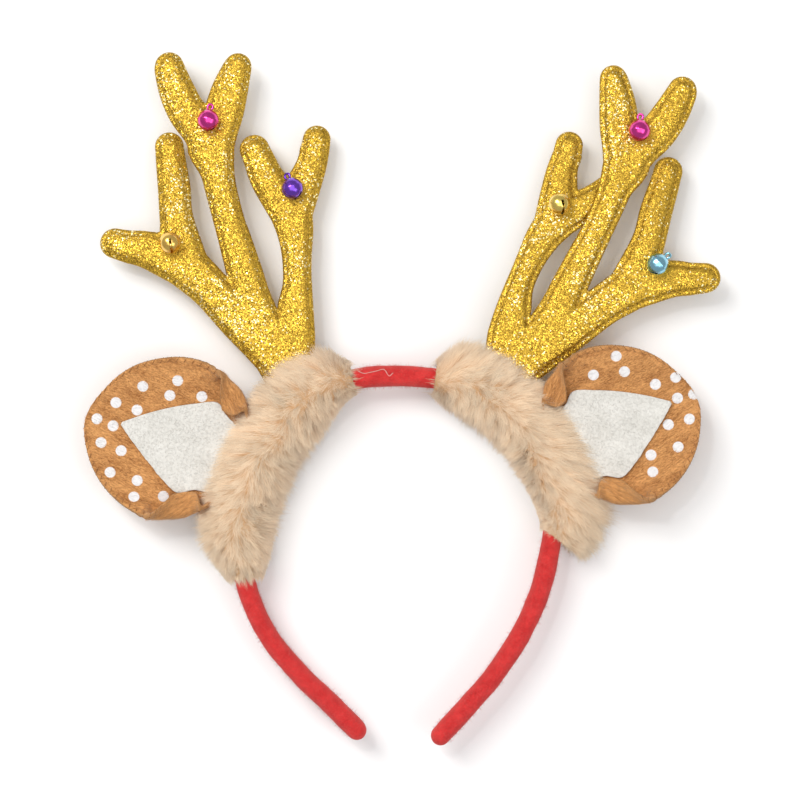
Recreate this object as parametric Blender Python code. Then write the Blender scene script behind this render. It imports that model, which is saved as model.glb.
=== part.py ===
"""A costume headband with reindeer antlers, ears and bells.

A hoop covered in red felt carries two fur cuffs. Inside each cuff a padded gold antler and a
plush ear are sewn to the hoop, and three small bells are sewn to the front of each antler.
The headband lies on its back: X runs across it, Y runs from the tips of the hoop to the tips
of the antlers, and Z is up, towards someone who looks at its front.
"""

import math

import bmesh
import bpy
import numpy as np
from mathutils import Matrix, Vector

# Sizes in metres
CLEARANCE = 0.0003
LIE_HEIGHT = 0.0175

BAND_WIDTH = 0.1427
BAND_HEIGHT = 0.1630
BAND_THICKNESS = 0.0093
BAND_DEPTH = 0.0110

CUFF_WIDTH = 0.0400
CUFF_DEPTH = 0.0390
CUFF_RIM = 0.0015
LEFT_CUFF_START = 0.0165
LEFT_CUFF_LENGTH = 0.1200
RIGHT_CUFF_START = 0.0150
RIGHT_CUFF_LENGTH = 0.1060
LOCK_WIDTH = 0.0078
LOCK_LIFT = 0.0022

ANTLER_HEIGHT = 0.1584
ANTLER_THICKNESS = 0.0046
ANTLER_EDGE = 0.0018
ANTLER_ROUNDING = 0.0032
PRONG_WIDTH = 0.0135
ANTLER_CELL = 0.0049
ANTLER_SLOT_GAP = 0.0006

EAR_LENGTH = 0.0780
EAR_WIDTH = 0.0765
EAR_THICKNESS = 0.0030
EAR_CUP = 0.0050
EAR_FOLD_RADIUS = 0.0028
EAR_FLAP = 0.0125
EAR_SLOT_GAP = 0.0005

FELT_LENGTH = 0.0622
FELT_WIDTH = 0.0445
FELT_THICKNESS = 0.0015

BELL_DIAMETER = 0.0100
BELL_WALL = 0.0007
BELL_SLOT = 0.0011
BELL_SLOT_LENGTH = 0.0072
BELL_SLOT_DEPTH = 0.0025
BELL_LOOP = 0.0036
BELL_WIRE = 0.0009

# The hoop from its left tip over the crown to its right tip
# across: share of half the band's width; down: share of the band's height
HOOP_ROWS = (
    (-0.250, 0.977),
    (-0.430, 0.897),
    (-0.590, 0.831),
    (-0.782, 0.732),
    (-0.896, 0.638),
    (-0.962, 0.535),
    (-0.986, 0.412),
    (-0.946, 0.310),
    (-0.850, 0.208),
    (-0.690, 0.110),
    (-0.450, 0.036),
    (-0.220, 0.006),
    (0.000, 0.000),
    (0.215, 0.006),
    (0.450, 0.026),
    (0.690, 0.082),
    (0.870, 0.165),
    (0.975, 0.280),
    (1.000, 0.385),
    (0.965, 0.489),
    (0.905, 0.600),
    (0.782, 0.716),
    (0.620, 0.824),
    (0.473, 0.900),
    (0.284, 0.992),
)

# The rounding of the hoop's tips
# reach: share of half its thickness; size: share of its full section
BAND_TIP_ROWS = (
    (0.55, 0.86),
    (0.92, 0.45),
)

# The cuffs' swell beside and above the hoop, from the crown down
# along: share of the cuff's length; outer, inner: share of the way from rim to full width;
# slant: degrees by which the outer side runs ahead
LEFT_CUFF_ROWS = (
    (0.00, 0.00, 0.00, 0.0),
    (0.04, 0.38, 0.12, 0.0),
    (0.08, 0.88, 0.28, 0.0),
    (0.13, 1.12, 0.48, 0.0),
    (0.22, 1.16, 0.84, 0.0),
    (0.33, 1.04, 1.00, 0.0),
    (0.45, 0.94, 1.02, 0.0),
    (0.57, 0.94, 1.04, 0.0),
    (0.70, 1.04, 0.98, 0.0),
    (0.80, 1.06, 0.84, 0.0),
    (0.88, 0.72, 0.62, 0.0),
    (0.95, 0.30, 0.30, -4.0),
    (1.00, 0.00, 0.00, -8.0),
)
RIGHT_CUFF_ROWS = (
    (0.00, 0.05, 0.05, 0.0),
    (0.06, 0.62, 0.42, 0.0),
    (0.12, 1.10, 0.60, 0.0),
    (0.22, 1.12, 0.78, 0.0),
    (0.35, 1.00, 0.86, 0.0),
    (0.48, 1.05, 0.84, 0.0),
    (0.60, 1.08, 0.74, 0.0),
    (0.71, 1.24, 0.58, 3.0),
    (0.81, 1.60, 0.36, 10.0),
    (0.88, 1.42, 0.20, 18.0),
    (0.95, 1.00, 0.02, 24.0),
    (1.00, 0.60, 0.00, 28.0),
)

# The antler's branches, flat and as the left one lies
# out, up: shares of the antler's height; half: share of the prong's width
STEM_ROWS = (
    (-0.020, -0.040, 0.72),
    (-0.018, 0.070, 0.80),
    (0.020, 0.160, 0.86),
    (0.078, 0.270, 0.68),
    (0.112, 0.385, 0.60),
    (0.137, 0.470, 0.55),
    (0.154, 0.525, 0.52),
    (0.176, 0.610, 0.53),
    (0.188, 0.668, 0.58),
    (0.205, 0.730, 0.78),
)
OUTER_TIP_ROWS = (
    (0.205, 0.730, 0.70),
    (0.228, 0.780, 0.70),
    (0.273, 0.833, 0.64),
    (0.301, 0.890, 0.60),
    (0.320, 0.946, 0.52),
    (0.323, 0.961, 0.48),
)
INNER_TIP_ROWS = (
    (0.200, 0.730, 0.70),
    (0.186, 0.780, 0.68),
    (0.168, 0.833, 0.66),
    (0.152, 0.892, 0.61),
    (0.134, 0.946, 0.50),
    (0.128, 0.961, 0.45),
)
OUTER_ROWS = (
    (-0.010, -0.040, 0.50),
    (0.000, 0.070, 0.46),
    (0.050, 0.157, 0.64),
    (0.123, 0.242, 0.71),
    (0.206, 0.330, 0.68),
    (0.275, 0.395, 0.76),
)
LOW_PRONG_ROWS = (
    (0.275, 0.395, 0.76),
    (0.378, 0.438, 0.63),
    (0.435, 0.449, 0.55),
    (0.477, 0.459, 0.50),
)
HIGH_PRONG_ROWS = (
    (0.275, 0.395, 0.76),
    (0.303, 0.526, 0.57),
    (0.310, 0.611, 0.55),
    (0.321, 0.696, 0.50),
    (0.325, 0.736, 0.48),
)
INNER_ROWS = (
    (-0.020, -0.040, 0.72),
    (-0.020, 0.157, 0.84),
    (-0.031, 0.242, 0.68),
    (-0.040, 0.327, 0.51),
    (-0.040, 0.384, 0.48),
    (-0.038, 0.440, 0.52),
    (-0.033, 0.497, 0.62),
    (-0.022, 0.548, 0.72),
)
STEM_SIDE_ROWS = (
    (-0.022, 0.548, 0.72),
    (0.042, 0.639, 0.60),
    (0.068, 0.696, 0.53),
    (0.082, 0.727, 0.50),
)
CROWN_SIDE_ROWS = (
    (-0.022, 0.548, 0.72),
    (-0.075, 0.668, 0.52),
    (-0.089, 0.725, 0.49),
    (-0.095, 0.757, 0.46),
)

# Where two of the branches bend, and over what length, as shares of the antler's height
INNER_PIVOT = (-0.014, 0.057)
INNER_REACH = 0.68
PRONG_PIVOT = (0.275, 0.395)
PRONG_REACH = 0.34

# How far the cut pattern spreads these two branches before they are bent, in degrees
INNER_SPREAD = 6.0
PRONG_SPREAD = 8.0

# The antlers on the hoop
# side; place: distance from the crown along the hoop; shift, lift: offsets of the root;
# turn: degrees outwards; stretch: against the left one; inner bend, prong bend: degrees;
# inner back, prong back: how far the branch leans behind the stem;
# inner hold: share of the inner branch's reach that stays straight
ANTLERS = (
    ("left", 0.0555, 0.0005, 0.0060, 0.0, 1.00, 6.0, -8.0, 0.0052, 0.0052, 0.00),
    ("right", 0.0555, -0.0015, 0.0000, 10.0, 1.02, 17.0, -8.0, 0.0060, 0.0052, 0.25),
)

# The ears' edges from the hoop out to the tip
# along: share of the ear's length; upper, lower: shares of half its width;
# upper curl, lower curl: degrees; upper flap, lower flap: shares of the flap
EAR_ROWS = (
    (0.06, 0.42, 0.42, 0.0, 0.0, 0.25, 0.25),
    (0.16, 0.62, 0.60, 70.0, 70.0, 0.60, 0.60),
    (0.25, 0.80, 0.77, 172.0, 172.0, 1.00, 1.00),
    (0.33, 0.855, 0.87, 160.0, 172.0, 0.60, 1.00),
    (0.41, 0.92, 0.94, 60.0, 120.0, 0.25, 0.50),
    (0.50, 0.95, 0.98, 12.0, 25.0, 0.25, 0.25),
    (0.62, 0.905, 0.95, 8.0, 8.0, 0.25, 0.25),
    (0.74, 0.785, 0.855, 6.0, 6.0, 0.25, 0.25),
    (0.85, 0.61, 0.70, 5.0, 5.0, 0.25, 0.25),
    (0.93, 0.38, 0.515, 4.0, 4.0, 0.25, 0.25),
    (0.98, 0.11, 0.345, 3.0, 3.0, 0.25, 0.25),
    (1.00, -0.06, 0.210, 2.0, 2.0, 0.25, 0.25),
)

# The opening in the cuff that the ear comes out of
# along: share of the ear's length; upper, lower: shares of half its width;
# height: share of the way from the felt's height to that of the folds
MOUTH_ROWS = (
    (0.00, 0.42, 0.42, 0.0),
    (0.10, 0.52, 0.52, 0.4),
    (0.16, 0.64, 0.64, 1.0),
    (0.25, 0.80, 0.80, 1.0),
    (0.41, 0.94, 1.00, 1.0),
    (0.60, 1.00, 1.05, 1.0),
)

# The felt triangle in each ear
# along: share of the felt's length; upper, lower: shares of half its width
FELT_ROWS = (
    (0.22, 0.72, 0.72),
    (0.33, 0.84, 0.81),
    (0.43, 1.00, 0.99),
    (0.57, 0.80, 0.86),
    (0.72, 0.53, 0.65),
    (0.87, 0.20, 0.42),
    (1.00, -0.14, 0.20),
)

# The ears on the hoop
# side; place: distance from the crown along the hoop; turn: degrees from level, upwards;
# rise: degrees of the tip towards the viewer; stretch: against the ear's length
EARS = (
    ("left", 0.0838, 24.0, 2.0, 1.00),
    ("right", 0.0843, 29.7, 5.0, 0.94),
)

# The bells on the antlers
# name; side; out, up: shares of the antler's height on the flat pattern;
# swing: degrees of the loop from straight up; roll: degrees of the slot towards the viewer
BELLS = (
    ("bell_magenta_left", "left", 0.210, 0.805, -8.0, 20.0),
    ("bell_purple", "left", -0.078, 0.610, 22.0, 25.0),
    ("bell_orange", "left", 0.320, 0.457, 60.0, 60.0),
    ("bell_magenta_right", "right", 0.222, 0.828, -4.0, 20.0),
    ("bell_gold", "right", -0.087, 0.588, 35.0, 55.0),
    ("bell_sky", "right", 0.338, 0.470, -50.0, 30.0),
)

# Surface colours: red, green, blue; roughness; metallic
COLOURS = {
    "headband": ((0.62, 0.05, 0.05), 0.95, 0.0),
    "fur_cuff": ((0.68, 0.48, 0.32), 0.95, 0.0),
    "antler": ((0.62, 0.40, 0.06), 0.35, 0.8),
    "ear": ((0.45, 0.22, 0.08), 0.85, 0.0),
    "ear_felt": ((0.82, 0.80, 0.76), 0.95, 0.0),
    "bell_magenta": ((0.65, 0.02, 0.22), 0.2, 1.0),
    "bell_purple": ((0.10, 0.02, 0.45), 0.2, 1.0),
    "bell_orange": ((0.85, 0.42, 0.03), 0.2, 1.0),
    "bell_gold": ((0.85, 0.60, 0.12), 0.2, 1.0),
    "bell_sky": ((0.15, 0.55, 0.72), 0.2, 1.0),
}

BAND_SIDES = 8
BAND_STATIONS = 36
CUFF_SIDES = 20
LOCK_TURN = 3 * 2 * math.pi / CUFF_SIDES


def clear_scene():
    """Take away whatever the open scene holds."""
    for thing in list(bpy.data.objects):
        bpy.data.objects.remove(thing, do_unlink=True)


def smooth_rows(rows, steps):
    """Return a curve through every row, with the given number of steps between two rows."""
    rows = np.array(rows, dtype=float)
    first = 2 * rows[:1] - rows[1:2]
    last = 2 * rows[-1:] - rows[-2:-1]
    ends = np.concatenate([first, rows, last])
    before, start, stop, after = ends[:-3], ends[1:-2], ends[2:-1], ends[3:]
    share = (np.arange(steps) / steps)[None, :, None]
    before, start, stop, after = (part[:, None, :] for part in (before, start, stop, after))
    linear = stop - before
    square = 2 * before - 5 * start + 4 * stop - after
    cube = 3 * start - before - 3 * stop + after
    curve = start + 0.5 * (linear * share + square * share**2 + cube * share**3)
    return np.concatenate([curve.reshape(-1, rows.shape[1]), rows[-1:]])


def read_rows(rows, places):
    """Return each column of a table at the given places along its first column."""
    curve = smooth_rows(rows, 8)
    order = np.maximum.accumulate(curve[:, 0])
    columns = [np.interp(places, order, curve[:, column]) for column in range(1, curve.shape[1])]
    return np.stack(columns, axis=1)


class Hoop:
    """The middle line of the hoop, with distances measured from its crown."""

    def __init__(self):
        rows = np.array(HOOP_ROWS)
        points = np.stack([rows[:, 0] * BAND_WIDTH / 2, -rows[:, 1] * BAND_HEIGHT], axis=1)
        self.points = smooth_rows(points, 12)
        steps = np.linalg.norm(np.diff(self.points, axis=0), axis=1)
        length = np.concatenate([[0.0], np.cumsum(steps)])
        crown = length[12 * [row[0] for row in HOOP_ROWS].index(0.0)]
        self.distance = length - crown

    def at(self, distance):
        """Return the points, the directions along and the directions outwards at distances."""
        distance = np.atleast_1d(distance)
        point = self._point(distance)
        ahead = self._point(distance + 0.001) - self._point(distance - 0.001)
        along = ahead / np.linalg.norm(ahead, axis=1)[:, None]
        outward = np.stack([-along[:, 1], along[:, 0]], axis=1)
        return point, along, outward

    def _point(self, distance):
        low, high = self.distance[0], self.distance[-1]
        held = np.clip(distance, low, high)
        point = np.stack([np.interp(held, self.distance, self.points[:, axis]) for axis in (0, 1)], axis=1)
        first = (self.points[1] - self.points[0]) / (self.distance[1] - self.distance[0])
        last = (self.points[-1] - self.points[-2]) / (self.distance[-1] - self.distance[-2])
        point += np.minimum(distance - low, 0.0)[:, None] * first
        point += np.maximum(distance - high, 0.0)[:, None] * last
        return point

    def gap(self, points):
        """Return the distance of points from the hoop's middle line, negative inside the hoop."""
        start, stop = self.points[:-1], self.points[1:]
        run = stop - start
        offset = points[:, None, :] - start[None]
        share = np.clip((offset * run).sum(-1) / (run * run).sum(-1), 0.0, 1.0)
        away = np.linalg.norm(offset - share[..., None] * run, axis=-1)
        nearest = away.argmin(axis=1)
        each = np.arange(len(points))
        side = run[nearest, 0] * offset[each, nearest, 1] - run[nearest, 1] * offset[each, nearest, 0]
        return np.where(side < 0.0, -1.0, 1.0) * away[each, nearest]


def material_for(name):
    """Return a plain surface of the piece's colour."""
    key = name
    for side in ("_left", "_right"):
        key = key.replace(side, "")
    colour, roughness, metallic = COLOURS[key]
    material = bpy.data.materials.new(name)
    material.use_nodes = True
    shader = material.node_tree.nodes["Principled BSDF"]
    shader.inputs["Base Color"].default_value = (*colour, 1.0)
    shader.inputs["Roughness"].default_value = roughness
    shader.inputs["Metallic"].default_value = metallic
    return material


def mesh_from(name, points, faces):
    """Return a closed mesh whose faces point outwards."""
    mesh = bpy.data.meshes.new(name)
    mesh.from_pydata([tuple(point) for point in points], [], [tuple(face) for face in faces])
    solid = bmesh.new()
    solid.from_mesh(mesh)
    bmesh.ops.recalc_face_normals(solid, faces=solid.faces)
    solid.to_mesh(mesh)
    solid.free()
    mesh.shade_smooth()
    mesh.set_sharp_from_angle(angle=math.radians(40))
    return mesh


def add_piece(name, mesh, place=Matrix.Identity(4)):
    """Add one piece of the headband with its own surface."""
    piece = bpy.data.objects.new(name, mesh)
    bpy.context.scene.collection.objects.link(piece)
    piece.matrix_world = place
    piece.data.materials.clear()
    piece.data.materials.append(material_for(name))
    return piece


def add_cutter(name, mesh, place=Matrix.Identity(4)):
    """Add a shape that only cuts another one."""
    cutter = bpy.data.objects.new(name, mesh)
    bpy.context.scene.collection.objects.link(cutter)
    cutter.matrix_world = place
    cutter.hide_render = True
    cutter.display_type = "WIRE"
    return cutter


def combine(piece, other, operation):
    """Cut another shape out of a piece, or join it to the piece."""
    change = piece.modifiers.new(other.name, "BOOLEAN")
    change.object = other
    change.operation = operation
    change.solver = "EXACT"


def loft(sections):
    """Return the points and faces of closed sections joined one after the other, with flat ends."""
    rows, sides = sections.shape[:2]
    faces = []
    for row in range(rows - 1):
        for side in range(sides):
            after = (side + 1) % sides
            lower, upper = row * sides, (row + 1) * sides
            faces.append((lower + side, lower + after, upper + after, upper + side))
    points = list(sections.reshape(-1, 3))
    for row, turned in ((0, True), (rows - 1, False)):
        middle = len(points)
        points.append(sections[row].mean(axis=0))
        for side in range(sides):
            after = (side + 1) % sides
            edge = (row * sides + side, row * sides + after)
            faces.append((*(edge[::-1] if turned else edge), middle))
    return points, faces


def band_mesh(name, hoop, grow):
    """Return the hoop, rounded at its tips, grown by a margin on every side."""
    half_out, half_up = BAND_THICKNESS / 2 + grow, BAND_DEPTH / 2 + grow
    inner = np.linspace(hoop.distance[0], hoop.distance[-1], BAND_STATIONS)
    reach = np.array([row[0] for row in BAND_TIP_ROWS]) * half_out
    size = np.array([row[1] for row in BAND_TIP_ROWS])
    distance = np.concatenate([inner[0] - reach[::-1], inner, inner[-1] + reach])
    scale = np.concatenate([size[::-1], np.ones(BAND_STATIONS), size])
    point, _, outward = hoop.at(distance)
    angle = np.arange(BAND_SIDES) * 2 * math.pi / BAND_SIDES
    side = np.sign(np.cos(angle)) * np.abs(np.cos(angle)) ** 0.85 * half_out
    rise = np.sign(np.sin(angle)) * np.abs(np.sin(angle)) ** 0.85 * half_up
    flat = point[:, None] + outward[:, None] * (side[None] * scale[:, None])[..., None]
    up = LIE_HEIGHT + rise[None] * scale[:, None]
    return mesh_from(name, *loft(np.concatenate([flat, up[..., None]], axis=2)))


def cuff_mesh(name, hoop, rows, start, length, sign):
    """Return the outer form of a fur cuff: locks that lie over one another away from a parting."""
    count = 2 * round(length / LOCK_WIDTH)
    even = np.linspace(0.0, 1.0, count + 1)
    share = even - 0.8 * np.sin(2 * math.pi * even) / (2 * math.pi)
    columns = read_rows(rows, share)
    swell, slant = columns[:, :2], np.radians(columns[:, 2])
    point, along, outward = hoop.at(sign * (start + share * length))
    rim_out = BAND_THICKNESS / 2 + CLEARANCE + CUFF_RIM
    rim_up = BAND_DEPTH / 2 + CLEARANCE + CUFF_RIM
    reach = rim_out + swell * (CUFF_WIDTH / 2 - rim_out)
    middle, half = (reach[:, 0] - reach[:, 1]) / 2, (reach[:, 0] + reach[:, 1]) / 2
    fullness = np.clip(0.5 * swell.sum(axis=1), 0.0, 1.0) ** 0.6
    height = rim_up + fullness * (CUFF_DEPTH / 2 - rim_up)
    angle = np.arange(CUFF_SIDES) * 2 * math.pi / CUFF_SIDES
    from_top = np.minimum((angle - math.pi / 2) % (2 * math.pi), (math.pi / 2 - angle) % (2 * math.pi))
    place = from_top / LOCK_TURN
    rank = np.floor(place + 1e-6)
    tip = place - rank
    row = np.arange(count + 1)[:, None]
    lock = (row + rank[None]) % 2
    lift = LOCK_LIFT * (lock * tip[None] - 0.25) * fullness[:, None]
    side = middle[:, None] + (half[:, None] + lift) * np.cos(angle)
    rise = (height[:, None] + lift) * np.sin(angle)
    up = np.maximum(LIE_HEIGHT + rise, 0.0)
    ahead = side * np.tan(slant)[:, None] * sign
    flat = point[:, None] + outward[:, None] * side[..., None] + along[:, None] * ahead[..., None]
    return mesh_from(name, *loft(np.concatenate([flat, up[..., None]], axis=2)))


def strip_depth(points, rows):
    """Return how deep points lie inside a strip with round ends and a changing width."""
    start, stop = rows[:-1], rows[1:]
    run = stop[:, :2] - start[:, :2]
    offset = points[:, None, :] - start[None, :, :2]
    share = np.clip((offset * run).sum(-1) / (run * run).sum(-1), 0.0, 1.0)
    half = start[:, 2] + share * (stop[:, 2] - start[:, 2])
    return (half - np.linalg.norm(offset - share[..., None] * run, axis=-1)).max(axis=1)


def ease(value):
    """Return 0 below 0, 1 above 1 and a soft step between."""
    value = np.clip(value, 0.0, 1.0)
    return value * value * (3.0 - 2.0 * value)


def turned(points, pivot, angle):
    """Turn points on the plane about a pivot, outwards for a positive angle."""
    offset = points - pivot
    cos, sin = np.cos(angle), np.sin(angle)
    turned_out = offset[:, 0] * cos + offset[:, 1] * sin
    turned_up = offset[:, 1] * cos - offset[:, 0] * sin
    return pivot + np.stack([turned_out, turned_up], axis=1)


class Branch:
    """A part of the antler that bends against the rest, about a pivot."""

    def __init__(self, height, pivot, reach, tables):
        self.pivot = np.array(pivot) * height
        self.reach = reach * height
        self.tables = tables

    def bend(self, points, degrees, hold=0.0):
        """Bend points by an angle that grows with their distance from the pivot.

        Nearer to it than the share hold of the reach, they stay.
        """
        far = np.linalg.norm(points - self.pivot, axis=1) / self.reach
        far = np.clip((far - hold) / (1.0 - hold), 0.0, 1.0)
        return turned(points, self.pivot, np.radians(degrees) * far * (1.4 - 0.4 * far))


class Antler:
    """The flat pattern of an antler and the way in which it is bent."""

    def __init__(self, stretch):
        self.height = ANTLER_HEIGHT * stretch
        inner_tables = (INNER_ROWS, STEM_SIDE_ROWS, CROWN_SIDE_ROWS)
        self.inner = Branch(self.height, INNER_PIVOT, INNER_REACH, inner_tables)
        self.prong = Branch(self.height, PRONG_PIVOT, PRONG_REACH, (HIGH_PRONG_ROWS,))
        rest = (STEM_ROWS, OUTER_TIP_ROWS, INNER_TIP_ROWS, OUTER_ROWS, LOW_PRONG_ROWS)
        self.rest = [self._strip(table) for table in rest]
        self.inner_strips = [self._strip(table, self.inner, -INNER_SPREAD) for table in self.inner.tables]
        self.prong_strips = [self._strip(table, self.prong, PRONG_SPREAD) for table in self.prong.tables]

    def _strip(self, table, branch=None, degrees=0.0):
        rows = smooth_rows(table, 4) * (self.height, self.height, PRONG_WIDTH)
        if branch is not None:
            rows[:, :2] = branch.bend(rows[:, :2], degrees)
        return rows

    def depths(self, points):
        """Return the depth of points inside the fixed branches, the inner one and the prong."""
        groups = (self.rest, self.inner_strips, self.prong_strips)
        return [np.max([strip_depth(points, rows) for rows in group], axis=0) for group in groups]

    def depth(self, points):
        """Return the depth of points inside the whole pattern."""
        return np.max(self.depths(points), axis=0)

    def bent(self, points, inner_bend, prong_bend, inner_back, prong_back, inner_hold):
        """Return the bent places of points on the pattern and how far each one leans back."""
        rest, inner, prong = self.depths(points)
        soft = PRONG_WIDTH * 0.6
        back = np.zeros(len(points))
        place = points
        inner_lead = inner - np.maximum(rest, prong)
        prong_lead = prong - np.maximum(rest, inner)
        settings = ((self.inner, inner_lead, inner_bend, inner_back, inner_hold),
                    (self.prong, prong_lead, prong_bend, prong_back, 0.0))
        for branch, lead, degrees, lean, hold in settings:
            share = ease(lead / soft + 0.5)[:, None]
            far = np.linalg.norm(points - branch.pivot, axis=1) / branch.reach
            place = place + share * (branch.bend(points, degrees, hold) - points)
            back = back + share[:, 0] * lean * ease(far - 0.25)
        return place, back


def flat_cells(depth, low, high, cell):
    """Return the points, the rim flags and the triangles that cover a flat form.

    The form is where depth is above zero. A net of equal triangles is laid over it. Net points
    near its outline move onto it, and the net's edges that cross the outline are cut there.
    """
    rise = cell * math.sqrt(3) / 2
    up_count = int((high[1] - low[1]) / rise) + 3
    out_count = int((high[0] - low[0]) / cell + up_count / 2) + 4
    column, row = np.meshgrid(np.arange(out_count), np.arange(up_count), indexing="ij")
    out = low[0] + (column + row / 2 - up_count / 2 - 1) * cell
    net = np.stack([out, low[1] + (row - 1) * rise], axis=-1).reshape(-1, 2)
    value = depth(net)
    tolerance = 0.3 * cell
    inside = (value > tolerance).reshape(out_count, up_count)
    beside = ((1, 0), (0, 1), (-1, 1), (-1, 0), (0, -1), (1, -1))
    ring = [np.roll(inside, shift, axis=(0, 1)) for shift in beside]
    changes = sum(ring[index] != ring[index - 1] for index in range(6))
    inside, changes = inside.ravel(), changes.ravel()
    near = ~inside & (value > -tolerance) & (changes <= 2)

    def onto_outline(points, keep):
        step = cell * 0.02
        for _ in range(3):
            here = depth(points)
            slope_out = (depth(points + (step, 0)) - here) / step
            slope_up = (depth(points + (0, step)) - here) / step
            slope = np.stack([slope_out, slope_up], axis=1)
            size = np.maximum((slope * slope).sum(axis=1), 0.25)
            move = -(here / size)[:, None] * slope
            limit = 0.35 * cell / np.maximum(np.linalg.norm(move, axis=1), 1e-9)
            points = points + np.where(keep, 1.0, 0.0)[:, None] * move * np.minimum(limit, 1.0)[:, None]
        return points

    index = np.arange(out_count * up_count).reshape(out_count, up_count)
    lower = np.stack([index[:-1, :-1], index[1:, :-1], index[:-1, 1:]], axis=-1).reshape(-1, 3)
    upper = np.stack([index[1:, :-1], index[1:, 1:], index[:-1, 1:]], axis=-1).reshape(-1, 3)
    cells = np.concatenate([lower, upper])
    count = inside[cells].sum(axis=1)
    cells, count = cells[count > 0], count[count > 0]
    for _ in range(2):
        turn = (count == 1) & ~inside[cells[:, 0]] | (count == 2) & inside[cells[:, 2]]
        cells = np.where(turn[:, None], np.roll(cells, -1, axis=1), cells)

    total = len(net)

    def outline_key(start, stop):
        return np.where(near[stop], stop, total + start * total + stop)

    full = cells[count == 3]
    first, second, third = cells[count == 2].T
    cut_second, cut_first = outline_key(second, third), outline_key(first, third)
    alone, left, right = cells[count == 1].T
    parts = [full,
             np.stack([first, second, cut_second], axis=1),
             np.stack([first, cut_second, cut_first], axis=1),
             np.stack([alone, outline_key(alone, left), outline_key(alone, right)], axis=1)]
    triangles = np.concatenate(parts)
    distinct = (triangles[:, 0] != triangles[:, 1]) & (triangles[:, 1] != triangles[:, 2])
    triangles = triangles[distinct & (triangles[:, 0] != triangles[:, 2])]
    keys, triangles = np.unique(triangles, return_inverse=True)
    triangles = triangles.reshape(-1, 3)
    on_net = keys < total
    start = np.where(on_net, keys, (keys - total) // total)
    stop = np.where(on_net, keys, (keys - total) % total)
    value_start, value_stop = value[start], np.minimum(value[stop], -0.3 * tolerance)
    drop = np.where(on_net, 1.0, value_start - value_stop)
    share = np.where(on_net, 0.0, value_start / drop)
    points = net[start] + share[:, None] * (net[stop] - net[start])
    rim = ~on_net | near[start]
    return onto_outline(points, rim), rim, triangles


def pad_mesh(name, depth, low, high, half_at, place):
    """Return a closed pad over a flat form.

    half_at gives half its thickness from the depth, and place puts points and heights in space.
    """
    points, rim, triangles = flat_cells(depth, low, high, ANTLER_CELL)
    inside = np.where(rim, 0.0, depth(points))
    half = half_at(inside)
    count = len(points)
    solid = np.concatenate([place(points, half), place(points, -half)])
    edges = np.concatenate([triangles[:, [0, 1]], triangles[:, [1, 2]], triangles[:, [2, 0]]])
    codes = edges[:, 0] * count + edges[:, 1]
    single = edges[~np.isin(codes, edges[:, 1] * count + edges[:, 0])]
    faces = [tuple(face) for face in triangles]
    faces += [tuple(face[::-1] + count) for face in triangles]
    faces += [(int(b), int(a), int(a + count), int(b + count)) for a, b in single]
    return mesh_from(name, solid, faces)


def pad_half(depth):
    """Return half the antler's thickness at a depth inside its outline."""
    share = np.clip(depth / ANTLER_ROUNDING, 0.0, 1.0)
    dome = np.sqrt(1.0 - (1.0 - share) ** 2)
    return ANTLER_EDGE / 2 + (ANTLER_THICKNESS - ANTLER_EDGE) / 2 * dome


class MountedAntler:
    """An antler at its place on the hoop."""

    def __init__(self, hoop, side, place, shift, lift, turn, stretch, *bends):
        self.side = side
        self.hoop = hoop
        self.sign = -1.0 if side == "left" else 1.0
        self.pattern = Antler(stretch)
        self.turn = math.radians(turn)
        self.bends = bends
        point, _, _ = hoop.at(self.sign * place)
        self.root = point[0] + np.array([self.sign * shift, lift])

    def to_hoop(self, points):
        """Return points of the bent pattern on the hoop's plane."""
        moved = turned(points, np.zeros(2), np.full(len(points), self.turn))
        return self.root + moved * (self.sign, 1.0)

    def in_space(self, points, height):
        """Return points of the pattern in space, with their height above its middle plane."""
        bent, back = self.pattern.bent(points, *self.bends)
        flat = self.to_hoop(bent)
        return np.column_stack([flat, LIE_HEIGHT - back + height])

    def depth(self, points):
        """Return the depth inside the pattern, which ends just short of the hoop."""
        clear = self.hoop.gap(self.to_hoop(points)) - BAND_THICKNESS / 2 - CLEARANCE
        return np.minimum(self.pattern.depth(points), clear)

    def mesh(self):
        """Return the antler's padded form."""
        height = self.pattern.height
        low, high = (-0.30 * height, -0.10 * height), (0.62 * height, 1.04 * height)
        return pad_mesh("antler_" + self.side, self.depth, low, high, pad_half, self.in_space)

    def slot_mesh(self):
        """Return the slot that the antler's root needs in the cuff."""
        height = self.pattern.height
        low, high = (-0.16 * height, -0.14 * height), (0.26 * height, 0.30 * height)
        above = (high[0], high[1] + 4 * ANTLER_CELL)

        def depth(points):
            edge = high[1] - points[:, 1]
            return np.minimum(self.pattern.depth(points) + ANTLER_SLOT_GAP, edge)

        def half_at(inside):
            return np.full(len(inside), ANTLER_THICKNESS / 2 + CLEARANCE)

        return pad_mesh("antler_slot_" + self.side, depth, low, above, half_at, self.in_space)


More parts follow.
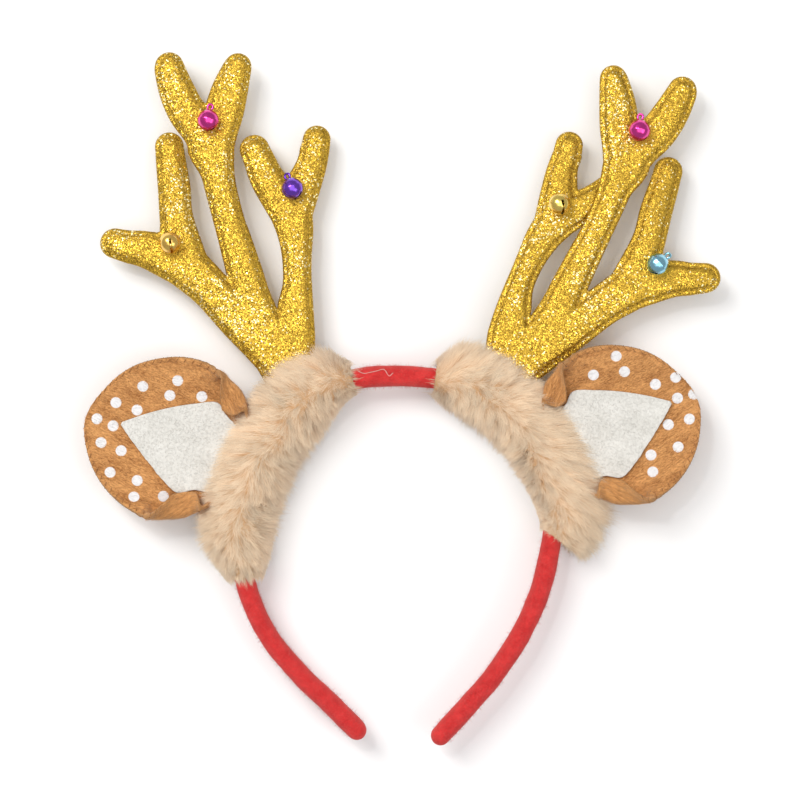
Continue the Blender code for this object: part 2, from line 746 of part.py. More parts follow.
def ear_section(upper, lower, upper_curl, lower_curl, upper_flap, lower_flap):
    """Return the middle line of one section across the ear and its directions across the wall.

    It runs from the upper flap's free edge round the fold, across the ear and round the other
    fold. A fold without curl is a flat stretch of the edge.
    """
    half = (upper + lower) / 2
    steps = []
    for reach, curl, flap in ((upper, upper_curl, upper_flap), (lower, lower_curl, lower_flap)):
        angle = max(math.radians(curl), 0.02)
        arc = min(EAR_FOLD_RADIUS * math.radians(150), 0.3 * half)
        free = min(flap * EAR_FLAP, 0.3 * half)
        radius = arc / angle
        corner = radius * math.sin(min(angle, math.pi / 2))
        extent = max(corner, radius * math.sin(angle) + free * math.cos(angle))
        turns = np.linspace(0.0, angle, 4)
        out = np.concatenate([radius * np.sin(turns), [radius * math.sin(angle) + free * math.cos(angle)]])
        up = np.concatenate([radius * (1 - np.cos(turns)),
                             [radius * (1 - math.cos(angle)) + free * math.sin(angle)]])
        steps.append((reach - extent + out, up, np.concatenate([turns, [angle]])))
    (top_out, top_up, top_turn), (low_out, low_up, low_turn) = steps
    span = np.linspace(-top_out[0], low_out[0], 5)[1:-1]
    across = np.concatenate([-top_out[::-1], span, low_out])
    up = np.concatenate([top_up[::-1], np.zeros(3), low_up])
    turn = np.concatenate([-top_turn[::-1], np.zeros(3), low_turn])
    cup = EAR_CUP * (across / (EAR_WIDTH / 2)) ** 2
    slope = np.arctan(2 * EAR_CUP * across / (EAR_WIDTH / 2) ** 2)
    wall = np.stack([-np.sin(turn + slope), np.cos(turn + slope)], axis=1)
    return np.stack([across, up + cup], axis=1), wall


def sheet_mesh(name, lines, walls, half, sign):
    """Return a sheet of even thickness from its middle lines, each with the wall's direction."""
    front = lines + walls * half
    back = lines - walls * half
    sections = np.concatenate([front, back[:, ::-1]], axis=1)
    sections[..., 1] *= sign
    return mesh_from(name, *loft(sections))


class MountedEar:
    """An ear and its felt triangle at their place on the hoop."""

    def __init__(self, hoop, side, place, turn, rise, stretch):
        self.side = side
        self.length = EAR_LENGTH * stretch
        self.hoop = hoop
        self.sign = -1.0 if side == "left" else 1.0
        point, _, _ = hoop.at(self.sign * place)
        self.root = point[0]
        angle = math.radians(turn)
        along = Vector((self.sign * math.cos(angle), math.sin(angle), 0.0))
        across = Vector((-math.sin(angle), math.cos(angle) * self.sign, 0.0))
        lean = Matrix.Rotation(math.radians(-rise), 4, "Y")
        axes = Matrix((along, across, (0, 0, 1))).transposed().to_4x4()
        self.place = Matrix.Translation((*self.root, LIE_HEIGHT)) @ axes @ lean

    def seam_reach(self, across):
        """Return how far from its root each part of the ear's edge meets the hoop's outer side."""
        reach = np.full(len(across), BAND_THICKNESS / 2)
        for _ in range(8):
            local = [Vector((x, -y * self.sign, 0.0)) for x, y in zip(reach, across)]
            flat = np.array([(self.place @ point)[:2] for point in local])
            reach = reach + BAND_THICKNESS / 2 + 2 * CLEARANCE - self.hoop.gap(flat)
        return np.maximum(reach, BAND_THICKNESS / 2 + 2 * CLEARANCE)

    def _mesh(self, name, along, sections, half):
        lines, walls = [], []
        for reach, (line, wall) in zip(along, sections):
            count = len(line)
            lines.append(np.column_stack([np.broadcast_to(reach, count), line]))
            walls.append(np.column_stack([np.zeros(count), wall]))
        return sheet_mesh(name, np.array(lines), np.array(walls), half, -self.sign)

    def mesh(self):
        """Return the plush ear, with its base edges folded over."""
        rows = np.array(EAR_ROWS)
        sections = [ear_section(row[1] * EAR_WIDTH / 2, row[2] * EAR_WIDTH / 2, *row[3:]) for row in rows]
        along = list(rows[:, 0] * self.length)
        along[0] = self.seam_reach(sections[0][0][:, 0])
        return self._mesh("ear_" + self.side, along, sections, EAR_THICKNESS / 2)

    def felt_mesh(self):
        """Return the felt triangle that lies on the ear's front."""
        sections = []
        for _, upper, lower in FELT_ROWS:
            across = np.linspace(-upper, lower, 6) * FELT_WIDTH / 2
            rise = EAR_THICKNESS / 2 + CLEARANCE * 1.5 + FELT_THICKNESS / 2
            up = EAR_CUP * (across / (EAR_WIDTH / 2)) ** 2 + rise
            slope = np.arctan(2 * EAR_CUP * across / (EAR_WIDTH / 2) ** 2)
            wall = np.stack([-np.sin(slope), np.cos(slope)], axis=1)
            sections.append((np.stack([across, up], axis=1), wall))
        along = [row[0] * FELT_LENGTH for row in FELT_ROWS]
        return self._mesh("ear_felt_" + self.side, along, sections, FELT_THICKNESS / 2)

    def mouth_mesh(self):
        """Return the opening that the ear's base needs in the cuff."""
        back = EAR_THICKNESS / 2 + EAR_SLOT_GAP
        front = 2 * EAR_FOLD_RADIUS + EAR_THICKNESS + EAR_CUP + EAR_SLOT_GAP
        low = FELT_THICKNESS + EAR_THICKNESS / 2 + 3 * EAR_SLOT_GAP
        beside = EAR_THICKNESS / 2 + EAR_SLOT_GAP
        sections = []
        for share, upper, lower, height in MOUTH_ROWS:
            top = low + height * (front - low)
            left, right = -upper * EAR_WIDTH / 2 - beside, lower * EAR_WIDTH / 2 + beside
            across = np.array([left, left, left * 0.5, right * 0.5, right, right, right * 0.5, left * 0.5])
            rim = EAR_CUP * (across / (EAR_WIDTH / 2)) ** 2
            up = np.array([rim[0] - back, top, top, top, top, rim[5] - back, -back, -back])
            along = np.full(len(across), share * self.length)
            sections.append(np.column_stack([along, -across * self.sign, up]))
        return mesh_from("ear_mouth_" + self.side, *loft(np.array(sections)))


def bell_mesh():
    """Return a hollow bell with a slot below and a wire loop above, which is towards +Y."""
    outer = bmesh.new()
    bmesh.ops.create_uvsphere(outer, u_segments=10, v_segments=7, radius=BELL_DIAMETER / 2)
    mesh = bpy.data.meshes.new("bell_shell")
    outer.to_mesh(mesh)
    outer.free()
    shell = bpy.data.objects.new("bell_shell", mesh)
    bpy.context.scene.collection.objects.link(shell)

    hollow = bmesh.new()
    bmesh.ops.create_uvsphere(hollow, u_segments=6, v_segments=4, radius=BELL_DIAMETER / 2 - BELL_WALL)
    inside = bpy.data.meshes.new("bell_hollow")
    hollow.to_mesh(inside)
    hollow.free()
    hollow_cutter = add_cutter("bell_hollow", inside, Matrix.Rotation(math.radians(11), 4, "Z"))

    slit = bmesh.new()
    bmesh.ops.create_cube(slit, size=1.0)
    size = Vector((BELL_SLOT_LENGTH, BELL_DIAMETER, BELL_SLOT))
    bmesh.ops.scale(slit, vec=size, verts=slit.verts)
    slit_mesh = bpy.data.meshes.new("bell_slit")
    slit.to_mesh(slit_mesh)
    slit.free()
    slit_place = Matrix.Translation((0, BELL_SLOT_DEPTH - BELL_DIAMETER, 0))
    slit_cutter = add_cutter("bell_slit", slit_mesh, slit_place)

    ring_radius = (BELL_LOOP - BELL_WIRE) / 2
    ring = []
    for step in range(8):
        angle = step * math.pi / 4
        spoke = np.array([math.cos(angle), math.sin(angle), 0.0])
        for corner in range(4):
            turn = (corner + 0.5) * math.pi / 2
            ring.append(spoke * (ring_radius + BELL_WIRE / 2 * math.cos(turn))
                        + np.array([0.0, 0.0, BELL_WIRE / 2 * math.sin(turn)]))
    faces = [(step * 4 + corner, (step * 4 + 4) % 32 + corner,
              (step * 4 + 4) % 32 + (corner + 1) % 4, step * 4 + (corner + 1) % 4)
             for step in range(8) for corner in range(4)]
    loop_place = Matrix.Translation((0, BELL_DIAMETER / 2 + ring_radius - BELL_WIRE / 3, 0))
    loop = add_cutter("bell_loop", mesh_from("bell_loop", ring, faces), loop_place)

    combine(shell, hollow_cutter, "DIFFERENCE")
    combine(shell, slit_cutter, "DIFFERENCE")
    combine(shell, loop, "UNION")
    bpy.context.view_layer.update()
    graph = bpy.context.evaluated_depsgraph_get()
    result = bpy.data.meshes.new_from_object(shell.evaluated_get(graph))
    for thing in (shell, hollow_cutter, slit_cutter, loop):
        bpy.data.objects.remove(thing, do_unlink=True)
    result.shade_smooth()
    result.set_sharp_from_angle(angle=math.radians(40))
    return result


def add_bell(row, antler, mesh):
    """Sew one bell to the front of its antler."""
    name, _, out, up, swing, roll = row
    spot = np.array([[out, up]]) * antler.pattern.height
    height = ANTLER_THICKNESS / 2 + CLEARANCE + BELL_DIAMETER / 2
    where = antler.in_space(spot, height)[0]
    turn = Matrix.Rotation(math.radians(swing), 4, "Z") @ Matrix.Rotation(math.radians(-roll), 4, "Y")
    add_piece(name, mesh.copy(), Matrix.Translation(where) @ turn)


def stand_on_origin(pieces):
    """Put the middle of the headband's underside at the origin, below one empty."""
    bpy.context.view_layer.update()
    graph = bpy.context.evaluated_depsgraph_get()
    corners = []
    for piece in pieces:
        shape = piece.evaluated_get(graph)
        corners += [shape.matrix_world @ vertex.co for vertex in shape.data.vertices]
    low = Vector([min(corner[axis] for corner in corners) for axis in range(3)])
    high = Vector([max(corner[axis] for corner in corners) for axis in range(3)])
    base = bpy.data.objects.new("headband_base", None)
    bpy.context.scene.collection.objects.link(base)
    for thing in bpy.context.scene.collection.objects:
        if thing != base and thing.parent is None:
            thing.parent = base
    base.location = (-(low.x + high.x) / 2, -(low.y + high.y) / 2, -low.z)
    bpy.context.view_layer.update()


def build():
    """Model the whole headband."""
    clear_scene()
    hoop = Hoop()
    pieces = [add_piece("headband", band_mesh("headband", hoop, 0.0))]
    tunnel = add_cutter("tunnel", band_mesh("tunnel", hoop, CLEARANCE))

    antlers = {row[0]: MountedAntler(hoop, *row) for row in ANTLERS}
    ears = {row[0]: MountedEar(hoop, *row) for row in EARS}
    cuffs = (("left", LEFT_CUFF_ROWS, LEFT_CUFF_START, LEFT_CUFF_LENGTH, -1.0),
             ("right", RIGHT_CUFF_ROWS, RIGHT_CUFF_START, RIGHT_CUFF_LENGTH, 1.0))
    for side, rows, start, length, sign in cuffs:
        antler, ear = antlers[side], ears[side]
        cuff = add_piece("fur_cuff_" + side, cuff_mesh("fur_cuff_" + side, hoop, rows, start, length, sign))
        combine(cuff, tunnel, "DIFFERENCE")
        combine(cuff, add_cutter("antler_slot_" + side, antler.slot_mesh()), "DIFFERENCE")
        combine(cuff, add_cutter("ear_mouth_" + side, ear.mouth_mesh(), ear.place), "DIFFERENCE")
        pieces.append(cuff)
        pieces.append(add_piece("antler_" + side, antler.mesh()))
        pieces.append(add_piece("ear_" + side, ear.mesh(), ear.place))
        pieces.append(add_piece("ear_felt_" + side, ear.felt_mesh(), ear.place))

    bell = bell_mesh()
    for row in BELLS:
        add_bell(row, antlers[row[1]], bell)
    stand_on_origin(pieces)


build()
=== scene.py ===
"""The looks of a costume headband with reindeer antlers, ears and bells.

A hoop covered in red felt carries two fur cuffs, two padded antlers of gold glitter cloth, two
plush ears with a felt triangle, and six jingle bells. It lies on its back on a pale table.
"""

import logging
import math
from dataclasses import dataclass, field
from enum import Enum
from itertools import product

import bpy
import numpy as np
from mathutils import Matrix, Vector


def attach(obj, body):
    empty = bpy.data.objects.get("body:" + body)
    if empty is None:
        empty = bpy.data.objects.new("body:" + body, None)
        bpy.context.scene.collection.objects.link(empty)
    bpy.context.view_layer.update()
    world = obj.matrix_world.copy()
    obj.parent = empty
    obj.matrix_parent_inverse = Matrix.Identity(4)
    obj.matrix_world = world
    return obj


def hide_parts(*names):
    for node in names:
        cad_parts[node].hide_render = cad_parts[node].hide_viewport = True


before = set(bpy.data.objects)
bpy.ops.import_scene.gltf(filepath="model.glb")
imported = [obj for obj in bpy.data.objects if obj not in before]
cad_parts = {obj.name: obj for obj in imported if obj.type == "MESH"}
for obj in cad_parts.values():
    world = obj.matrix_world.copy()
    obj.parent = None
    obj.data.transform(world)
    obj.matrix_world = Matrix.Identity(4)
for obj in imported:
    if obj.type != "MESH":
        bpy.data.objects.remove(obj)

Array = np.ndarray
Rows = tuple[tuple[float, ...], ...]
Colour = tuple[float, float, float]

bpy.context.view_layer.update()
LOG = logging.getLogger("headband")

# Sizes in metres: the gap between pieces, the hoop's middle over the table, and the hoop's crown
CLEARANCE = 0.0003
LIE_HEIGHT = 0.0175
MILLIMETRE = 0.001
CROWN = (-0.002743, 0.010438)

# A drawing of the headband, 800 steps across, with the crown at this column and row
DRAWN_STEP = 0.00045
DRAWN_CROWN = (396.0, 376.0)

UPWARDS = np.array([0.0, 0.0, 1.0])


class Side(Enum):
    """The side of the headband, as a viewer in front of it sees it."""

    LEFT = -1.0
    RIGHT = 1.0

    @property
    def word(self) -> str:
        """Return the side's name as the nodes spell it."""
        return self.name.lower()


class Lie(Enum):
    """Which half of a cuff a batch of fur covers, by the angle at which that half starts."""

    FRONT = 0.0
    BACK = math.pi


# Curves and noise

def smooth_rows(rows: Rows | Array, steps: int) -> Array:
    """Draw a curve through every row.

    Between two rows the curve is the cubic whose slope at each row is half the step from the row
    before to the row after.

    Args:
        rows: The rows, each with the same columns.
        steps: The number of steps between two rows.

    Returns:
        The curve's rows.
    """
    rows = np.array(rows, dtype=float)
    ends = np.concatenate([2 * rows[:1] - rows[1:2], rows, 2 * rows[-1:] - rows[-2:-1]])
    parts = (ends[:-3], ends[1:-2], ends[2:-1], ends[3:])
    before, start, stop, after = (part[:, None, :] for part in parts)
    share = (np.arange(steps) / steps)[None, :, None]
    linear = stop - before
    square = 2 * before - 5 * start + 4 * stop - after
    cube = 3 * start - before - 3 * stop + after
    curve = start + 0.5 * (linear * share + square * share**2 + cube * share**3)
    return np.concatenate([curve.reshape(-1, rows.shape[1]), rows[-1:]])


def read_rows(rows: Rows, places: Array) -> Array:
    """Read a table's columns at places along its first column.

    Args:
        rows: The table.
        places: The places, in the first column's unit.

    Returns:
        One row for each place, without the first column.
    """
    curve = smooth_rows(rows, 8)
    order = np.maximum.accumulate(curve[:, 0])
    columns = [np.interp(places, order, curve[:, column]) for column in range(1, curve.shape[1])]
    return np.stack(columns, axis=-1)


def soft_noise(points: Array, size: float, seed: int) -> Array:
    """Give each point a smooth random value.

    Each corner of a cubic net of the given size holds a fixed random value, and a point mixes the
    eight values round it with weights w = s * s * (3 - 2 * s), where s is its share of the way.

    Args:
        points: The points, with the three coordinates last.
        size: The net's size in metres.
        seed: The number that picks the net's values.

    Returns:
        Values from -1 to 1.
    """
    scaled = np.asarray(points, dtype=float) / size
    cell = np.floor(scaled).astype(np.int64)
    share = scaled - cell
    share = share * share * (3.0 - 2.0 * share)
    total = np.zeros(scaled.shape[:-1])
    for corner in product((0, 1), repeat=3):
        at = cell + np.array(corner)
        code = (at[..., 0] * 73856093) ^ (at[..., 1] * 19349663) ^ (at[..., 2] * 83492791) ^ (seed * 40503)
        code = (code ^ (code >> 13)) * 1274126177
        value = ((code ^ (code >> 15)) & 0xFFFF) / 65535.0
        total += value * np.where(corner, share, 1.0 - share).prod(axis=-1)
    return 2.0 * total - 1.0


def ease(value: Array) -> Array:
    """Return 0 below 0, 1 above 1 and the soft step s * s * (3 - 2 * s) between."""
    value = np.clip(value, 0.0, 1.0)
    return value * value * (3.0 - 2.0 * value)


def unit(vectors: Array) -> Array:
    """Return the vectors at length one."""
    return vectors / np.maximum(np.linalg.norm(vectors, axis=-1, keepdims=True), 1e-12)


# Meshes from arrays

def mesh_of(name: str, points: Array, faces: list[Array], values: dict[str, Array] | None = None,
            normals: Array | None = None) -> bpy.types.Mesh:
    """Make a smooth mesh from whole arrays.

    Args:
        name: The mesh's name.
        points: One row of coordinates for each vertex.
        faces: Arrays of vertex numbers, each with one face size.
        values: Values on the vertices by name, as numbers or as vectors.
        normals: Shading directions on the vertices, if they aren't the surface's own.

    Returns:
        The mesh.
    """
    mesh = bpy.data.meshes.new(name)
    corners = np.concatenate([group.ravel() for group in faces]).astype(np.int32)
    sizes = np.concatenate([np.full(len(group), group.shape[1]) for group in faces])
    starts = np.concatenate([[0], np.cumsum(sizes)[:-1]]).astype(np.int32)
    mesh.vertices.add(len(points))
    mesh.vertices.foreach_set("co", points.astype(np.float32).ravel())
    mesh.loops.add(len(corners))
    mesh.loops.foreach_set("vertex_index", corners)
    mesh.polygons.add(len(starts))
    mesh.polygons.foreach_set("loop_start", starts)
    mesh.update(calc_edges=True)
    mesh.shade_smooth()
    for key, value in (values or {}).items():
        kind, slot = ("FLOAT", "value") if value.ndim == 1 else ("FLOAT_VECTOR", "vector")
        layer = mesh.attributes.new(key, kind, "POINT")
        layer.data.foreach_set(slot, value.astype(np.float32).ravel())
    if normals is not None:
        mesh.normals_split_custom_set_from_vertices(normals.astype(np.float32))
    return mesh


def facing_out(points: Array, faces: list[Array]) -> list[Array]:
    """Turn a closed surface's faces outwards.

    The volume is the sum of p0 . (p1 x p2) / 6 over the triangles of every face, and it is
    negative where the faces point inwards.

    Args:
        points: The vertices.
        faces: Arrays of vertex numbers that go round the same way.

    Returns:
        The faces, turned round if they pointed inwards.
    """
    volume = 0.0
    for group in faces:
        for step in range(1, group.shape[1] - 1):
            turned_area = np.cross(points[group[:, step]], points[group[:, step + 1]])
            volume += float((points[group[:, 0]] * turned_area).sum())
    return faces if volume > 0.0 else [group[:, ::-1] for group in faces]


def skin(sections: Array) -> tuple[Array, list[Array]]:
    """Join closed sections into one closed surface, with a fan at each end.

    Args:
        sections: The sections' points, as rows by sides by coordinates.

    Returns:
        The vertices, the two ends' middles last, and the faces.
    """
    rows, sides = sections.shape[:2]
    index = np.arange(rows * sides).reshape(rows, sides)
    after = np.roll(index, -1, axis=1)
    quads = np.stack([index[:-1], after[:-1], after[1:], index[1:]], axis=-1).reshape(-1, 4)
    first = np.stack([after[0], index[0], np.full(sides, rows * sides)], axis=1)
    last = np.stack([index[-1], after[-1], np.full(sides, rows * sides + 1)], axis=1)
    points = np.concatenate([sections.reshape(-1, 3), sections[[0, -1]].mean(axis=1)])
    return points, facing_out(points, [quads, np.concatenate([first, last])])


def with_ends(values: Array) -> Array:
    """Return values on rows by sides as vertex values, with the means of the two end rows last."""
    flat = values.reshape((-1,) + values.shape[2:])
    return np.concatenate([flat, values[[0, -1]].mean(axis=1)])


def ribbons(paths: Array, widths: Array, facing: Array) -> tuple[Array, Array]:
    """Lay a flat tapering fibre along each path, with its face towards a direction.

    At each point but the last, the fibre spreads to both sides along ahead x facing, and at the
    last point it ends in a tip.

    Args:
        paths: The points of each path, as fibres by points by coordinates.
        widths: The width at each point but the last.
        facing: The direction that each fibre faces.

    Returns:
        The vertices and the triangles.
    """
    count, steps = paths.shape[:2]
    across = unit(np.cross(np.diff(paths, axis=1), facing[:, None]))
    spread = across * widths[..., None] / 2
    pairs = np.stack([paths[:, :-1] - spread, paths[:, :-1] + spread], axis=2)
    points = np.concatenate([pairs.reshape(count, -1, 3), paths[:, -1:]], axis=1)
    corner = 2 * np.arange(steps - 2)[:, None]
    body = np.concatenate([corner + (0, 1, 3), corner + (0, 3, 2)])
    pattern = np.concatenate([body, [[2 * steps - 4, 2 * steps - 3, 2 * steps - 2]]])
    triangles = np.arange(count)[:, None, None] * (2 * steps - 1) + pattern[None]
    return points.reshape(-1, 3), triangles.reshape(-1, 3)


def on_ribbons(values: Array) -> Array:
    """Return one value for each point of each path as values on the ribbons' vertices."""
    pairs = np.repeat(values[:, :-1], 2, axis=1)
    return np.concatenate([pairs, values[:, -1:]], axis=1).reshape((-1,) + values.shape[2:])


def tube(path: Array, radius: Array | float, sides: int) -> tuple[Array, list[Array]]:
    """Carry a circle along a path.

    Args:
        path: The path's points.
        radius: The tube's radius, or one for each point.
        sides: The number of points round it.

    Returns:
        The vertices and the faces of the closed tube.
    """
    ahead = unit(np.gradient(path, axis=0))
    beside = unit(np.cross(ahead, (0.13, 0.21, 0.97)))
    above = np.cross(beside, ahead)
    angle = np.arange(sides) * 2 * math.pi / sides
    reach = np.broadcast_to(radius, len(path))[:, None, None]
    ring = beside[:, None] * np.cos(angle)[None, :, None] + above[:, None] * np.sin(angle)[None, :, None]
    return skin(path[:, None] + reach * ring)


def threads(lines: Array, radius: Array, reference: Array, sides: int = 5) -> tuple[Array, list[Array]]:
    """Carry a circle along many short lines.

    Args:
        lines: The points of each line, as lines by points by coordinates.
        radius: The radius at each point of a line.
        reference: For each line, a direction that crosses it.
        sides: The number of points round it.

    Returns:
        The vertices and the faces of the closed threads.
    """
    count, steps = lines.shape[:2]
    ahead = unit(np.gradient(lines, axis=1))
    beside = unit(np.cross(ahead, reference[:, None]))
    above = np.cross(beside, ahead)
    angle = np.arange(sides)[:, None] * 2 * math.pi / sides
    ring = beside[:, :, None] * np.cos(angle) + above[:, :, None] * np.sin(angle)
    rings = lines[:, :, None] + radius[None, :, None, None] * ring
    pattern = skin(rings[0])[1]
    solids = np.concatenate([rings.reshape(count, -1, 3), rings[:, [0, -1]].mean(axis=2)], axis=1)
    number = np.arange(count)[:, None, None] * (steps * sides + 2)
    return solids.reshape(-1, 3), [(number + group).reshape(-1, group.shape[1]) for group in pattern]


def show_piece(name: str, mesh: bpy.types.Mesh, finish: bpy.types.Material, slot: str,
               *nodes: str) -> bpy.types.Object:
    """Put a piece in the scene under the root body, and hide the solids that it stands for.

    Args:
        name: The piece's name.
        mesh: Its mesh, in place.
        finish: Its material.
        slot: A name for that material; not used.
        nodes: The solids that it stands for.

    Returns:
        The piece.
    """
    piece = bpy.data.objects.new(name, mesh)
    bpy.context.scene.collection.objects.link(piece)
    mesh.materials.clear()
    mesh.materials.append(finish)
    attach(piece, "root")
    if nodes:
        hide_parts(*nodes)
    LOG.info("%s: %d faces", name, len(mesh.polygons))
    return piece


# Finishes

class NodeTable:
    """A node tree that is being laid out."""

    def __init__(self, tree: bpy.types.NodeTree) -> None:
        """Start on a tree."""
        self.tree = tree

    def add(self, kind: str, **settings: object) -> bpy.types.Node:
        """Add a node.

        Args:
            kind: The node's type name.
            settings: Values for its properties.

        Returns:
            The node.
        """
        node = self.tree.nodes.new(kind)
        for key, value in settings.items():
            setattr(node, key, value)
        return node

    def join(self, source: bpy.types.NodeSocket, target: bpy.types.NodeSocket) -> None:
        """Join an output to an input."""
        self.tree.links.new(source, target)

    def math(self, operation: str, *parts: object) -> bpy.types.NodeSocket:
        """Add a sum on numbers.

        Args:
            operation: The sum's name.
            parts: Its inputs, as sockets or numbers.

        Returns:
            The result's socket.
        """
        node = self.add("ShaderNodeMath", operation=operation)
        for place, part in enumerate(parts):
            if isinstance(part, (int, float)):
                node.inputs[place].default_value = part
            else:
                self.join(part, node.inputs[place])
        return node.outputs[0]

    def blend(self, share: bpy.types.NodeSocket, low: object, high: object) -> bpy.types.NodeSocket:
        """Mix two colours.

        Args:
            share: The socket with the share of the second colour.
            low: The first colour or its socket.
            high: The second colour or its socket.

        Returns:
            The mixed colour's socket.
        """
        node = self.add("ShaderNodeMix", data_type="RGBA")
        self.join(share, node.inputs["Factor"])
        for place, part in ((6, low), (7, high)):
            if isinstance(part, tuple):
                node.inputs[place].default_value = (*part, 1.0)
            else:
                self.join(part, node.inputs[place])
        return node.outputs[2]


def start_material(name: str, **values: object) -> tuple[bpy.types.Material, NodeTable, bpy.types.Node]:
    """Start a material.

    Args:
        name: The material's name.
        values: Values for the shader's sockets, with underscores for spaces.

    Returns:
        The material, its node table and its shader.
    """
    material = bpy.data.materials.new(name)
    material.use_nodes = True
    shader = material.node_tree.nodes["Principled BSDF"]
    for key, value in values.items():
        socket = shader.inputs[key.replace("_", " ")]
        socket.default_value = (*value, 1.0) if isinstance(value, tuple) else value
    return material, NodeTable(material.node_tree), shader


def start_group(name: str, inputs: dict[str, str],
                outputs: dict[str, str]) -> tuple[NodeTable, bpy.types.Node, bpy.types.Node]:
    """Start a node group.

    Args:
        name: The group's name.
        inputs: The inputs' names and socket types.
        outputs: The outputs' names and socket types.

    Returns:
        The group's node table, its input node and its output node.
    """
    tree = bpy.data.node_groups.new(name, "ShaderNodeTree")
    for sockets, way in ((inputs, "INPUT"), (outputs, "OUTPUT")):
        for key, kind in sockets.items():
            tree.interface.new_socket(name=key, in_out=way, socket_type=kind)
    table = NodeTable(tree)
    return table, table.add("NodeGroupInput"), table.add("NodeGroupOutput")


def matted_fibres() -> bpy.types.NodeTree:
    """Return the group that gives cloth its matted fibres, as a tone and a height.

    Tone is a mix of a coarse and a fine noise, and height is the fine noise with thin ridges.
    """
    name = "matted_fibres"
    if name in bpy.data.node_groups:
        return bpy.data.node_groups[name]
    table, start, stop = start_group(name, {"Place": "NodeSocketVector", "Fineness": "NodeSocketFloat"},
                                     {"Tone": "NodeSocketFloat", "Height": "NodeSocketFloat"})
    fine = table.add("ShaderNodeTexNoise")
    coarse = table.add("ShaderNodeTexNoise")
    table.join(start.outputs["Place"], fine.inputs["Vector"])
    table.join(start.outputs["Place"], coarse.inputs["Vector"])
    table.join(start.outputs["Fineness"], fine.inputs["Scale"])
    table.join(table.math("MULTIPLY", start.outputs["Fineness"], 0.12), coarse.inputs["Scale"])
    fine.inputs["Detail"].default_value = 3.0
    coarse.inputs["Detail"].default_value = 2.0
    fine.inputs["Distortion"].default_value = 0.8
    ridge = table.math("ABSOLUTE", table.math("SUBTRACT", fine.outputs["Fac"], 0.5))
    height = table.math("SUBTRACT", fine.outputs["Fac"], table.math("MULTIPLY", ridge, 1.6))
    tone = table.math("ADD", table.math("MULTIPLY", fine.outputs["Fac"], 0.55),
                      table.math("MULTIPLY", coarse.outputs["Fac"], 0.45))
    table.join(tone, stop.inputs["Tone"])
    table.join(height, stop.inputs["Height"])
    return table.tree


def printed_dot() -> bpy.types.NodeTree:
    """Return the group that masks one printed dot: 1 nearer to its centre than its radius, else 0."""
    name = "printed_dot"
    if name in bpy.data.node_groups:
        return bpy.data.node_groups[name]
    table, start, stop = start_group(name, {"Place": "NodeSocketVector", "Centre": "NodeSocketVector",
                                            "Radius": "NodeSocketFloat"}, {"Mask": "NodeSocketFloat"})
    far = table.add("ShaderNodeVectorMath", operation="DISTANCE")
    table.join(start.outputs["Place"], far.inputs[0])
    table.join(start.outputs["Centre"], far.inputs[1])
    inside = table.math("SUBTRACT", start.outputs["Radius"], far.outputs["Value"])
    scaled = table.math("ADD", table.math("MULTIPLY", inside, 3500.0), 0.5)
    table.join(table.math("MINIMUM", table.math("MAXIMUM", scaled, 0.0), 1.0), stop.inputs["Mask"])
    return table.tree


def place_fibres(table: NodeTable, place: bpy.types.NodeSocket, fineness: float) -> bpy.types.Node:
    """Put the matted fibres into a material.

    Args:
        table: The material's node table.
        place: The socket with the coordinates.
        fineness: The number of fibres in a metre.

    Returns:
        The group's node.
    """
    node = table.add("ShaderNodeGroup", node_tree=matted_fibres())
    table.join(place, node.inputs["Place"])
    node.inputs["Fineness"].default_value = fineness
    return node


def add_bump(table: NodeTable, shader: bpy.types.Node, height: bpy.types.NodeSocket,
             depth: float) -> None:
    """Raise a material's surface by a height.

    Args:
        table: The material's node table.
        shader: Its shader.
        height: The socket with the height, from 0 to 1.
        depth: The depth in metres.
    """
    bump = table.add("ShaderNodeBump")
    bump.inputs["Strength"].default_value = 1.0
    bump.inputs["Distance"].default_value = depth
    table.join(height, bump.inputs["Height"])
    table.join(bump.outputs["Normal"], shader.inputs["Normal"])


@dataclass(frozen=True)
class FeltFinish:
    """A matted cloth without a pile."""

    name: str
    dark: Colour
    light: Colour
    sheen: Colour
    fineness: float = 2600.0
    depth: float = 0.00022

    def material(self) -> bpy.types.Material:
        """Return the material: a mottled colour and a fine relief of fibres."""
        material, table, shader = start_material(self.name, Roughness=0.92, Sheen_Weight=0.35,
                                                 Sheen_Roughness=0.5, Sheen_Tint=self.sheen)
        shader.inputs["Specular IOR Level"].default_value = 0.2
        place = table.add("ShaderNodeTexCoord").outputs["Object"]
        fibres = place_fibres(table, place, self.fineness)
        share = table.math("MULTIPLY", table.math("SUBTRACT", fibres.outputs["Tone"], 0.32), 2.8)
        table.join(table.blend(share, self.dark, self.light), shader.inputs["Base Color"])
        add_bump(table, shader, fibres.outputs["Height"], self.depth)
        return material


@dataclass(frozen=True)
class PileFinish:
    """Loose fibres, darker at their roots as painted shade deep in the pile, with a tone of their own."""

    name: str
    root: Colour
    tip: Colour
    rough: float = 0.7

    def material(self) -> bpy.types.Material:
        """Return the material: the root's and the tip's colour mixed by the reach, times the tone."""
        material, table, shader = start_material(self.name, Roughness=self.rough, Sheen_Weight=0.2,
                                                 Sheen_Roughness=0.6)
        shader.inputs["Specular IOR Level"].default_value = 0.25
        reach = table.add("ShaderNodeAttribute", attribute_name="reach")
        tone = table.add("ShaderNodeAttribute", attribute_name="tone")
        # The root colour is darker as painted shade deep in the pile.
        colour = table.blend(reach.outputs["Fac"], self.root, self.tip)
        shade = table.add("ShaderNodeVectorMath", operation="SCALE")
        table.join(colour, shade.inputs[0])
        table.join(tone.outputs["Fac"], shade.inputs["Scale"])
        table.join(shade.outputs["Vector"], shader.inputs["Base Color"])
        return material


